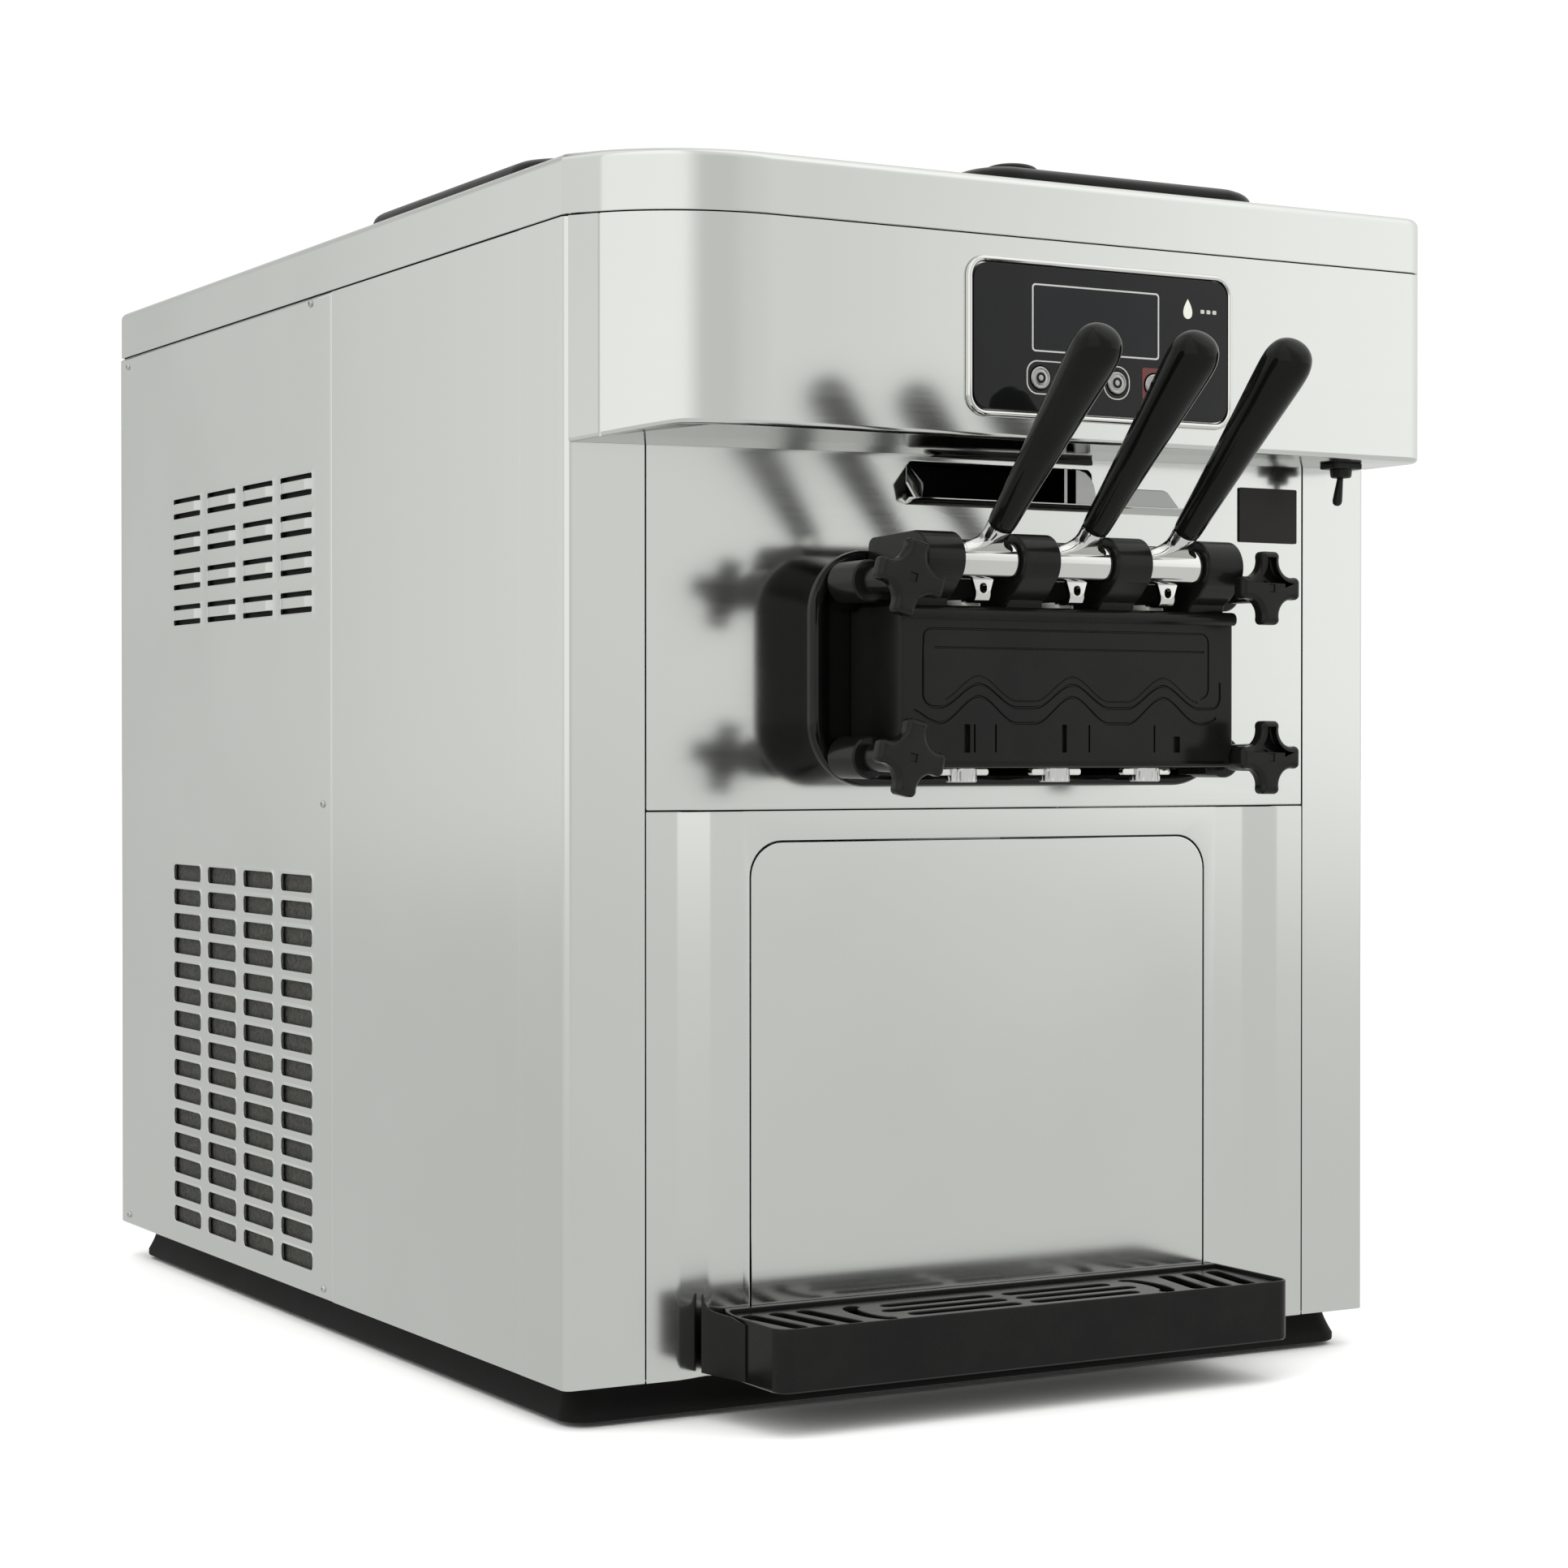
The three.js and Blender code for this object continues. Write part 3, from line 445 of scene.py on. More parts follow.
class Shape:
    """Points and faces in mm. A loop is a list of point indices."""

    def __init__(self):
        self.points, self.faces = [], []

    def ring(self, points):
        start = len(self.points)
        self.points += [tuple(p) for p in points]
        return list(range(start, len(self.points)))

    def bridge(self, a, b, closed=True):
        count = len(a)
        for i in range(count if closed else count - 1):
            j = (i + 1) % count
            self.faces.append((a[i], a[j], b[j], b[i]))

    def cap(self, loop):
        self.faces.append(tuple(loop))

    def cap_with_holes(self, loops):
        """A flat face: the first loop is its outside, the others are holes."""
        indices = [i for loop in loops for i in loop]
        outlines = [[Vector(self.points[i]) for i in loop] for loop in loops]
        for triangle in tessellate_polygon(outlines):
            self.faces.append(tuple(indices[k] for k in triangle))

    def chain(self, rings, open_rings=False, wrap=False):
        """Bridges each ring to the next, and the last to the first if wrapped."""
        loops = [self.ring(points) for points in rings]
        for a, b in zip(loops, loops[1:]):
            self.bridge(a, b, not open_rings)
        if wrap:
            self.bridge(loops[-1], loops[0])
        return loops

    def loft(self, rings):
        loops = self.chain(rings)
        self.cap(loops[0])
        self.cap(loops[-1])
        return self

    def plate(self, outline, low, high, plane=XY, rim=0.5, segments=3, low_rim=None,
              holes=(), hole_rim=None):
        """Extruded outline with rounded rims; low_rim and hole_rim default to rim."""
        low_rim = rim if low_rim is None else low_rim
        hole_rim = rim if hole_rim is None else hole_rim
        firsts, lasts = [], []
        edges = [(outline, 1, low_rim, rim)] + [(hole, -1, hole_rim, hole_rim) for hole in holes]
        for edge, sign, low_round, high_round in edges:
            steps = rim_steps(low, high, low_round, high_round, segments)
            loops = self.chain(levels([(edge(sign * inset), w) for inset, w in steps], plane))
            firsts.append(loops[0])
            lasts.append(loops[-1])
        for ends in (firsts, lasts):
            if holes:
                self.cap_with_holes(ends)
            else:
                self.cap(ends[0])
        return self

    def lathe(self, profile, placement, sides, closed=False):
        """Turns (radius, height) pairs about local Z."""
        turns = [2 * math.pi * i / sides for i in range(sides)]
        loops = []
        for radius, height in profile:
            if radius < 1e-6:
                points = [Vector((0, 0, height))]
            else:
                points = [Vector((radius * math.cos(a), radius * math.sin(a), height))
                          for a in turns]
            loops.append(self.ring([placement @ p for p in points]))
        if closed:
            loops.append(loops[0])
        for a, b in zip(loops, loops[1:]):
            if len(a) == 1 and len(b) == 1:
                continue
            if len(a) == 1:
                self.faces += [(a[0], b[(i + 1) % sides], b[i]) for i in range(sides)]
            elif len(b) == 1:
                self.faces += [(a[i], a[(i + 1) % sides], b[0]) for i in range(sides)]
            else:
                self.bridge(a, b)
        if not closed:
            for loop in (loops[0], loops[-1]):
                if len(loop) > 1:
                    self.cap(loop)
        return self


def punch(outline, low, high, plane=XZ):
    """Square-edged tool for cutting."""
    return Shape().plate(outline(0) and outline, low, high, plane, rim=0)


def prism(outline, x0, x1, rim, segments):
    """A (y, z) outline extruded along X."""
    return Shape().plate(insets_of(ccw(outline)), x0, x1, YZ, rim=rim, segments=segments)


def rod(axis, place, radius, start, end, sides=32, chamfer=0.0):
    if chamfer:
        profile = [(0, start), (radius - chamfer, start), (radius, start + chamfer),
                   (radius, end - chamfer), (radius - chamfer, end), (0, end)]
    else:
        profile = [(0, start), (radius, start), (radius, end), (0, end)]
    return Shape().lathe(profile, aim(axis, place), sides)


# ------------------------------------------------------------------ objects
def new_object(name, data):
    thing = bpy.data.objects.new(name, data)
    bpy.context.scene.collection.objects.link(thing)
    return thing


def make_mesh(name, shape, drop_slivers=False):
    mesh = bpy.data.meshes.new(name)
    mesh.from_pydata([to_frame(*p) for p in shape.points], [], shape.faces)
    bm = bmesh.new()
    bm.from_mesh(mesh)
    bmesh.ops.remove_doubles(bm, verts=bm.verts, dist=2e-7)
    if drop_slivers:
        bmesh.ops.dissolve_degenerate(bm, dist=1e-7, edges=bm.edges)
    bmesh.ops.recalc_face_normals(bm, faces=bm.faces)
    bm.to_mesh(mesh)
    bm.free()
    return mesh


def build(name, shape, material, replaces=None, body="cabinet", sharp=35,
          weighted=True, reshape=None):
    """Makes the object; reshape(object) may cut or join tools before shading is set."""
    thing = new_object(name, make_mesh(name, shape, drop_slivers=True))
    thing.data.materials.append(material)
    if reshape:
        reshape(thing)
    for face in thing.data.polygons:
        face.use_smooth = True
    thing.data.set_sharp_from_angle(angle=math.radians(sharp))
    if weighted:
        modifier = thing.modifiers.new("flat_faces_stay_flat", "WEIGHTED_NORMAL")
        modifier.keep_sharp = True
        modifier.weight = 60
    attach(thing, body)
    if replaces:
        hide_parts(replaces)


def apply_boolean(thing, shape, operation):
    mesh = make_mesh("tool", shape)
    tool = new_object("tool", mesh)
    modifier = thing.modifiers.new("b", "BOOLEAN")
    modifier.operation = operation
    modifier.object = tool
    before = len(thing.data.vertices)
    # the second solver takes over where the first gives nothing or changes nothing
    for solver in ("MANIFOLD", "EXACT"):
        modifier.solver = solver
        depsgraph = bpy.context.evaluated_depsgraph_get()
        result = bpy.data.meshes.new_from_object(thing.evaluated_get(depsgraph))
        if len(result.vertices) not in (0, before):
            break
    thing.modifiers.remove(modifier)
    old = thing.data
    thing.data = result
    bpy.data.objects.remove(tool)
    bpy.data.meshes.remove(mesh)
    bpy.data.meshes.remove(old)


def cut(thing, shape):
    apply_boolean(thing, shape, "DIFFERENCE")


def join(thing, shape):
    apply_boolean(thing, shape, "UNION")


# ------------------------------------------------------------------ side sheets and corner posts
def corner_sheet(sign):
    """One sheet bent round the front corner."""
    bend = 5.0
    centre = (HALF_WIDTH - bend, FRONT + bend)
    rear_edge, inner_edge = -312.2, POST_EDGE + 0.9
    outside = ([(HALF_WIDTH, rear_edge)] + arc(*centre, bend, 360, 270, 8)
               + [(inner_edge, FRONT)])
    inside = ([(inner_edge, FRONT + SHEET)] + arc(*centre, bend - SHEET, 270, 360, 8)
              + [(HALF_WIDTH - SHEET, rear_edge)])
    outline = ccw([(sign * u, v) for u, v in outside + inside])
    return Shape().plate(insets_of(outline), SHEET_FOOT, SHEET_TOP, segments=2)


for side, sign in SIDES:
    low, high = sorted((sign * HALF_WIDTH, sign * (HALF_WIDTH - SHEET)))
    sheet = Shape().plate(rect(-311.9, -39.5, SHEET_FOOT, SHEET_TOP, 0.8, 2), low, high, YZ,
                          rim=0.7)
    build("side_sheet_" + side, sheet, STEEL_UPRIGHT, "side_panel_" + side)
    build("corner_sheet_" + side, corner_sheet(sign), STEEL_UPRIGHT,
          "corner_post_" + side)

# ------------------------------------------------------------------ vented side sheets
# Each opening sits in a rectangular cell; rows are the tops of the cells.
VENT_PITCH = 68.3
VENT_COLUMNS = [20.3 + VENT_PITCH * k for k in range(4)]
CELL_EDGES = [VENT_COLUMNS[0] - VENT_PITCH / 2 + VENT_PITCH * k for k in range(5)]
SLOT_ROWS = [287.825 - 16.85 * k for k in range(16)]
LOUVRE_ROWS = [541.9 - 24.4 * k for k in range(5)]
OPENING_HALF_LENGTH = 27.2
# rows, opening height, corner radius, rim as (spread, height above the face)
VENT_GROUPS = (
    (SLOT_ROWS, 10.8, 3.4, [(2.0, 0), (1.3, 0.16), (0.75, 0.42), (0.3, 0.40), (0.0, 0.12)]),
    (LOUVRE_ROWS, 13.4, 1.3, [(1.0, 0), (0.5, 0.22), (0.15, 0.2), (0.0, 0.0)]),
)
# section of a louvre bridge: height, z from its centre line
BRIDGE_SECTION = [(0, 3.05), (-0.35, 3.4), (-0.9, 3.4), (-1.2, 3.1),
                  (-1.2, -3.1), (-0.9, -3.4), (-0.35, -3.4), (0, -3.05)]


def cell_outline(y0, y1, z0, z1):
    """Rectangle with a point on every cell line, which keeps the sheet free of T joints."""
    ys = sorted({y0, y1}.union(y for y in CELL_EDGES if y0 < y < y1))
    zs = sorted({z0, z1}.union(z for z in SLOT_ROWS + LOUVRE_ROWS if z0 < z < z1))
    return ([(y, z0) for y in ys] + [(y1, z) for z in zs[1:]]
            + [(y, z1) for y in ys[-2::-1]] + [(y0, z) for z in zs[-2:0:-1]])


def vent_sheet(sign):
    """Raised bridge louvres above, rimmed round-cornered slots below, a folded edge."""
    shape = Shape()
    fold = 1.9
    y0, y1 = -38.9, REAR - 0.2
    first, last = CELL_EDGES[0], VENT_COLUMNS[-1] + VENT_PITCH / 2
    low, high = SHEET_FOOT + fold, SHEET_TOP - fold
    corner_steps = 5

    def lift(outline, height):
        return [(sign * (HALF_WIDTH + height), y, z) for y, z in outline]

    def opening(y, top, height, rows, opening_height, radius, rim):
        """Fills one cell round its opening; returns the opening's last loop."""
        z = top - (rows[0] - rows[1]) / 2
        half = VENT_PITCH / 2
        outline = rect(y - OPENING_HALF_LENGTH, y + OPENING_HALF_LENGTH,
                       z - opening_height / 2, z + opening_height / 2, radius, corner_steps)
        loops = [shape.ring(lift(outline(-spread), height + rise)) for spread, rise in rim]
        corners = shape.ring(lift([(y + half, top), (y - half, top), (y - half, 2 * z - top),
                                   (y + half, 2 * z - top)], height))
        count = corner_steps + 1
        for k in range(4):
            bend = loops[0][k * count:(k + 1) * count]
            following = loops[0][((k + 1) % 4) * count]
            shape.cap([corners[k]] + bend[::-1])
            shape.cap([corners[k], bend[-1], following, corners[(k + 1) % 4]])
        for a, b in zip(loops, loops[1:]):
            shape.bridge(a, b)
        return loops[-1]

    def face(height, outside):
        bands = [(first, last, low, SLOT_ROWS[-1]),
                 (first, last, SLOT_ROWS[0], LOUVRE_ROWS[-1]),
                 (first, last, LOUVRE_ROWS[0], high)]
        margins = [(last, y1 - fold, low, high), (y0 + fold, first, low, high)]
        # the order of the margins only sets the vertex numbering
        for area in bands + (margins if outside else margins[::-1]):
            shape.cap(shape.ring(lift(cell_outline(*area), height)))
        return [opening(y, top, height, rows, opening_height, radius,
                        rim if outside else [(0.0, 0.0)])
                for rows, opening_height, radius, rim in VENT_GROUPS
                for y in VENT_COLUMNS for top in rows[:-1]]

    for a, b in zip(face(0, True), face(-SHEET, False)):
        shape.bridge(a, b)
    edge = [(fold * (1 - math.sin(a)), -fold * (1 - math.cos(a))) for a in quarter(4)]
    edge += [(0, -SHEET + 0.3), (fold, -SHEET)]
    shape.chain([lift(cell_outline(y0 + inset, y1 - inset, SHEET_FOOT + inset,
                                   SHEET_TOP - inset), height) for inset, height in edge])
    for y in VENT_COLUMNS:
        for top in LOUVRE_ROWS[:-1]:
            rings = []
            for k in range(17):
                t = k / 16
                rise = -0.35 + 2.0 * smoothstep(min(1, min(t, 1 - t) / 0.11))
                rings.append([(sign * (HALF_WIDTH + rise + h), y - 28.0 + 56.0 * t,
                               top - 12.2 + z) for h, z in BRIDGE_SECTION])
            shape.loft(rings)
    return shape


for side, sign in SIDES:
    build("vented_sheet_" + side, vent_sheet(sign), STEEL_UPRIGHT,
          "vent_panel_" + side, sharp=38)
    low, high = sorted((sign * 266.6, sign * 262.6))
    for name, z0, z1, material in (("air_filter_", 30, 292, FILTER),
                                   ("louvre_screen_", 440, 545, RUBBER)):
        pad = Shape().plate(rect(-12, 258, z0, z1, 4, 4), low, high, YZ, rim=0.8)
        build(name + side, pad, material)

# ------------------------------------------------------------------ rear sheet
CABLE_X, CABLE_Z = 205, 70


def rear_sheet():
    slots = [rect(x, x + 140, z, z + 9, 4.2, 5)
             for x in (-150, 10) for z in (321 - 24 * k for k in range(9))]
    edge = HALF_WIDTH - SHEET - 0.4
    return Shape().plate(rect(-edge, edge, SHEET_FOOT, SHEET_TOP, 1.5, 3),
                         REAR - SHEET, REAR, XZ, segments=2,
                         holes=slots + [circle(CABLE_X, CABLE_Z, 9, 24)])


build("rear_sheet", rear_sheet(), STEEL_UPRIGHT, "rear_panel")

# ------------------------------------------------------------------ front sheets
RECESS_Y = FRONT + 4
RECESS_EDGE = 160
# service cover
COVER_X0, COVER_X1, COVER_TOP, COVER_RADIUS, COVER_GAP = -155, 151, 312.5, 20, 0.9


def upper_front():
    """Holes for the dispensing head and the pocket."""
    holes = [rect(-112, 112, 355, 459, 26), rect(-57.5, 68, 503.8, 525, 4)]
    outline = rect(-POST_EDGE, POST_EDGE, FRONT_SPLIT + 0.35, SHEET_TOP, 0.8, 2)
    return Shape().plate(outline, FRONT, FRONT + SHEET, XZ, rim=0.6, segments=2, holes=holes)


def recess_depth(x):
    """Y of the front face across the soft step at each side of the recess."""
    def bend(q, half=1.6):
        if q <= -half:
            return 0
        return q if q >= half else (q + half) ** 2 / (4 * half)
    return RECESS_Y - 4 / 21 * (bend(abs(x) - 181) - bend(abs(x) - 202))


def lower_front():
    """Sheet pressed back 4 mm between two S-shaped steps, with a hole for the cover."""
    shape = Shape()
    z0, z1 = SHEET_FOOT, FRONT_SPLIT - 0.35
    stations = ([POST_EDGE, 210] + [204 - 4 * k / 8 for k in range(9)] + [195, 188]
                + [183 - 4 * k / 8 for k in range(9)] + [170, RECESS_EDGE])
    strip = ([(x, recess_depth(x)) for x in stations]
             + [(x, recess_depth(x) + SHEET) for x in stations[::-1]])
    for sign in (-1, 1):
        outline = [(sign * u, v) for u, v in strip]
        shape.loft(levels([(offset(outline, inset), z) for z, inset in
                           ((z0, 0.35), (z0 + 0.35, 0), (z1 - 0.35, 0), (z1, 0.35))]))
    hole = arch(COVER_X0 - COVER_GAP, COVER_X1 + COVER_GAP, 28, COVER_TOP + COVER_GAP,
                COVER_RADIUS)
    shape.plate(lambda inset: [(RECESS_EDGE, z0 + inset), (RECESS_EDGE, z1 - inset),
                               (-RECESS_EDGE, z1 - inset), (-RECESS_EDGE, z0 + inset)],
                RECESS_Y, RECESS_Y + SHEET, XZ, rim=0.35, segments=2, holes=[hole])
    return shape


build("front_upper_sheet", upper_front(), STEEL, "front_upper_panel")
build("front_lower_sheet", lower_front(), STEEL, "front_lower_panel")
build("service_cover",
      Shape().plate(arch(COVER_X0, COVER_X1, 28.6, COVER_TOP, COVER_RADIUS - 0.6),
                    RECESS_Y, RECESS_Y + SHEET, XZ, segments=2),
      STEEL, "service_panel")


# ------------------------------------------------------------------ hood and top cover
def hood_edge(inset):
    """Front edge of the hood and the cover, from left to right."""
    return ([(-HALF_WIDTH + inset, -365 + 0.55 * inset)]
            + arc(-175, HOOD_FRONT + HOOD_LEFT_RADIUS, HOOD_LEFT_RADIUS - inset, 219.5, 270, 28)
            + arc(HOOD_RIGHT - HOOD_RIGHT_RADIUS, HOOD_FRONT + HOOD_RIGHT_RADIUS,
                  HOOD_RIGHT_RADIUS - inset, 270, 360, 10))


def cover_outline(inset):
    """The hood's edge carried back to two rounded rear corners."""
    radius = 4.0 - inset * 0.5
    y = REAR - inset - radius
    return (arc(HOOD_RIGHT - inset - radius, y, radius, 0, 90, 5)
            + arc(-HALF_WIDTH + inset + radius, y, radius, 90, 180, 5) + hood_edge(inset))


def hood():
    """Folded fascia with a rolled lower edge and a flat underside."""
    shape = Shape()
    rear = FRONT - 0.4
    roll = 3.0

    def ring(inset, z):
        path = hood_edge(inset)
        start, after = path[0], path[1]
        t = (rear - start[1]) / (after[1] - start[1])
        path[0] = (start[0] + (after[0] - start[0]) * t, rear)
        path.append((HOOD_RIGHT - inset, rear))
        return [(x, y, dip(x, z)) for x, y in path]

    def dip(x, z):
        """The lower edge falls a little round the left corner."""
        t = min(1, max(0, (-222 - x) / 48))
        return z - (9.5 * t ** 1.15 if z < SEAM - 20 else 0)

    section = [(0, SHEET_TOP)] + [(roll * (1 - math.cos(a)),
                                   HOOD_BOTTOM + roll * (1 - math.sin(a))) for a in quarter(6)]
    lining = [(SHEET, SHEET_TOP), (SHEET, HOOD_BOTTOM + roll), (roll, HOOD_BOTTOM + SHEET)]
    outer = shape.chain([ring(*step) for step in section], open_rings=True)
    inner = shape.chain([ring(*step) for step in lining], open_rings=True)
    shape.bridge(outer[0], inner[0], closed=False)
    shape.cap(outer[-1])
    shape.cap(inner[-1])
    for end in (0, -1):
        shape.cap([loop[end] for loop in outer] + [loop[end] for loop in inner[::-1]])
    # rear edge of the underside
    shape.cap((outer[-1][0], outer[-1][-1], inner[-1][-1], inner[-1][0]))
    return shape


def cut_hood(thing):
    """Panel window, a fold line down the left end, and the toggle's hole."""
    cut(thing, punch(rect(-46, 117, 553, 626.5, 9, 6), HOOD_FRONT - 6, HOOD_FRONT + 8))
    fold = turned([(-1.3, -0.8), (2, -0.8), (2, 0.8), (-1.3, 0.8)], math.radians(218),
                  -257.4, -384.1)
    cut(thing, Shape().loft(levels([(fold, HOOD_BOTTOM - 14), (fold, SEAM + 2)])))
    cut(thing, rod("+Z", (TOGGLE_X, TOGGLE_Y, 0), 6.3, HOOD_BOTTOM - 4, HOOD_BOTTOM + 5))


def top_cover():
    shape = Shape()
    roll = 5.0
    section = [(0.35, SEAM), (0, SEAM + 0.35)]
    section += [(roll * (1 - math.cos(a)), TOP - roll * (1 - math.sin(a))) for a in quarter(8)]
    lining = [(SHEET, SEAM), (SHEET, TOP - roll), (roll, TOP - SHEET)]
    outer = shape.chain(levels([(cover_outline(inset), z) for inset, z in section]))
    inner = shape.chain(levels([(cover_outline(inset), z) for inset, z in lining]))
    shape.bridge(outer[0], inner[0])
    tops, undersides = [outer[-1]], [inner[-1]]
    for x, y in HOPPERS.values():
        hole = rect(x - 91.5, x + 91.5, y - 121.5, y + 121.5, 16)
        edge = shape.chain(levels([(hole(-spread), z) for spread, z in (
            (0.8, TOP), (0.25, TOP - 0.25), (0, TOP - 0.8), (0, TOP - SHEET))]))
        tops.append(edge[0])
        undersides.append(edge[-1])
    shape.cap_with_holes(tops)
    shape.cap_with_holes(undersides)
    return shape


def seam_shade_strip():
    """Black strip inside the cover's foot that paints the shade at the bottom of the seam."""
    shape = Shape()
    shape.chain(levels([(cover_outline(inset), z) for inset, z in (
        (1.9, SEAM - 5), (1.9, SEAM + 2.2), (3.1, SEAM + 2.2), (3.1, SEAM - 5))]), wrap=True)
    return shape


build("hood_sheet", hood(), STEEL, "hood_fascia", sharp=28, reshape=cut_hood)
build("top_cover_sheet", top_cover(), STEEL, "top_cover", sharp=28)
# black strip that paints the shade in the seam under the cover, not a real part
build("seam_shade_strip", seam_shade_strip(), RUBBER, sharp=28)
# folded returns: inwards at the foot of the casing, and across the right end of the hood
build("casing_return",
      Shape().plate(rect(-268.3, 268.3, -362.2, 366.2, 3.5, 4), 23.1, 24.5, rim=0.4,
                    segments=2, holes=[rect(-250, 250, -345, 332, 8)]), STEEL)
build("hood_return",
      Shape().plate(rect(250, 271.3, HOOD_BOTTOM + 2, SEAM - 2, 0.8, 2),
                    FRONT - 2.2, FRONT - 0.8, XZ, rim=0.4, segments=2), STEEL)

# ------------------------------------------------------------------ pocket above the head
# section of the rolled lower lip: reach in front of the cabinet, z
LIP_SECTION = [(0.45, 500.6), (2.0, 500.8), (7, 501.9), (10.6, 503.0), (11.8, 503.6),
               (11.9, 504.1), (11.2, 504.4), (7, 503.5), (2.0, 502.5), (0.45, 502.3)]
# flap at the left end of the lip: x, reach in front of the cabinet, z
LIP_FLAP = [(-57.4, 0.6, 523.0), (-47.0, 1.0, 513.0), (-50.0, 4.0, 504.6),
            (-58.0, 10.5, 503.8), (-61.8, 7.5, 512.5)]
# (x, z) outlines of the parts in the mouth of the pocket
POCKET_TAB = [(88, 503.2), (131, 503.2), (121, 514.0), (118, 515.2), (92, 515.2)]
POCKET_CHEEK = [(56.0, 503.4), (69.4, 503.4), (69.9, 507.5), (69.6, 512.0), (68.4, 516.5),
                (66.0, 520.4), (62.6, 523.3), (58.0, 524.9), (56.0, 525.0)]
POCKET_POST = [(48.6, 503.6), (50.6, 503.6), (50.6, 525.0), (48.6, 525.0)]
# gloss-black brow over the pocket, which paints the dark reflection of the hood's underside:
# position up its slope, reach in front of the cabinet
BROW_STEPS = [(0.0, 0.45), (0.0, 2.6), (0.08, 3.2), (0.22, 3.3),
              (0.55, 2.6), (0.85, 1.5), (1.0, 0.8), (1.0, 0.45)]


def pocket_lip():
    # x, share of the full reach
    stations = ([(-58.5, 0.35), (-58, 0.8), (-57, 1)]
                + [(-57 + (128 + 57) * i / 12, 1) for i in range(1, 13)]
                + [(129.6, 0.9), (131, 0.55)])
    shape = Shape().loft([[(x, FRONT - reach * share, z) for reach, z in LIP_SECTION]
                          for x, share in stations])
    flap = [Vector((x, FRONT - reach, z)) for x, reach, z in LIP_FLAP]
    normal = (flap[1] - flap[0]).cross(flap[3] - flap[0]).normalized() * 1.2
    centre = sum(flap, Vector()) / 5
    return shape.loft([flap, [p + normal * 0.5 + (p - centre) * 0.03 for p in flap],
                       [p + normal for p in flap]])


def pocket_tab():
    shape = Shape()
    for outline, back, front, inset in ((POCKET_TAB, 0.45, 1.5, 0.4),
                                        (POCKET_CHEEK, 0.2, 1.6, 0.5)):
        shape.loft(levels([(outline, FRONT - back), (outline, FRONT - front),
                           (offset(outline, inset), FRONT - front - inset)], XZ))
    return shape.loft(levels([(POCKET_POST, FRONT + 1.0), (POCKET_POST, FRONT - 0.6)], XZ))


# black strip above the mouth: painted dark reflection of the hood's underside on the steel
def pocket_brow_painted_reflection():
    rings = []
    for t, reach in BROW_STEPS:
        x, z = -46.0 + 25.0 * t, 527.6 + 5.8 * t
        rings.append([(x, FRONT - 0.45, z), (x + 1.2, FRONT - reach, z),
                      (66.5, FRONT - reach, z), (67.5, FRONT - 0.45, z)])
    return Shape().loft(rings)


def pocket_cup():
    """Open-fronted box, near-black inside to paint the shade of the deep pocket."""
    shape = Shape()
    mouth_y = FRONT + 1.8
    outer = [(-57.3, mouth_y), (67.8, mouth_y), (78, FRONT + 26), (-14, FRONT + 26)]
    inner = [(-55.3, mouth_y), (66, mouth_y), (76, FRONT + 24.6), (-13, FRONT + 24.6)]
    mouths = []
    for outline, z0, z1 in ((outer, 503.9, 525.0), (inner, 505, 524)):
        low, high = [shape.ring(p) for p in levels([(outline, z0), (outline, z1)])]
        shape.bridge(low[1:] + low[:1], high[1:] + high[:1], closed=False)
        shape.cap(low)
        shape.cap(high)
        mouths.append([low[0], low[1], high[1], high[0]])
    shape.bridge(*mouths)
    return shape


build("pocket_lip", pocket_lip(), CHROME, "handle_switch_pocket", sharp=40)
# tab and cheek in darker steel: painted shade of a slope
build("pocket_tab", pocket_tab(), PAINTED_SHADE_TAB_STEEL, sharp=40)
# painted dark reflection of the hood's underside, in gloss black
build("pocket_brow_painted_reflection", pocket_brow_painted_reflection(), GLOSS_BLACK, sharp=40)
# the pocket's inside is painted shade
build("pocket_cup", pocket_cup(), POCKET_PAINTED_SHADE)

# ------------------------------------------------------------------ label and toggle
build("blank_plate",
      Shape().plate(rect(174, 216.6, 487, 519.4, 1.0, 4), FRONT - 1.3, FRONT - 0.4, XZ,
                    rim=0.3, segments=2, low_rim=0), LABEL, "label_plate")
# radius, height from the hood's underside
BUSH_PROFILE = [(0, -6.8), (2.9, -7), (3.2, -9), (5.4, -9), (6.2, -8.2), (6.6, -4.6),
                (6.2, -3.6), (0, -3.5)]
# radius, height from the bat's pivot
BAT_PROFILE = [(0, -20.2), (1.5, -19.9), (2.5, -18.9), (2.9, -17.2), (2.6, -13),
               (1.9, -5), (1.8, 0), (0, 0.6)]


def toggle_bush():
    shape = Shape().plate(rect(TOGGLE_X - 11, TOGGLE_X + 11, TOGGLE_Y - 8, TOGGLE_Y + 8, 3.2, 6),
                          HOOD_BOTTOM - 4, HOOD_BOTTOM - 0.35, rim=0.9)
    return shape.lathe([(radius, HOOD_BOTTOM + h) for radius, h in BUSH_PROFILE],
                       aim("+Z", (TOGGLE_X, TOGGLE_Y, 0)), 32)


build("toggle_bush", toggle_bush(), SATIN_BLACK, "toggle_switch_body")
bat_frame = (Matrix.Translation((TOGGLE_X, TOGGLE_Y, HOOD_BOTTOM - 5.8))
             @ Matrix.Rotation(math.radians(9), 4, "Y"))
build("toggle_bat", Shape().lathe(BAT_PROFILE, bat_frame, 28), SATIN_BLACK,
      "toggle_lever", body="toggle")

# ------------------------------------------------------------------ control panel
PANEL_FACE = HOOD_FRONT - 3
PRINT_BACK, PRINT_FRONT = PANEL_FACE + 0.62, PANEL_FACE + 0.42
BUTTON_X = [-6.5 + 25.7 * i for i in range(4)]
BUTTON_Z = 568.6
BUTTON_HOLES = [circle(x, BUTTON_Z, 6.9) for x in BUTTON_X]
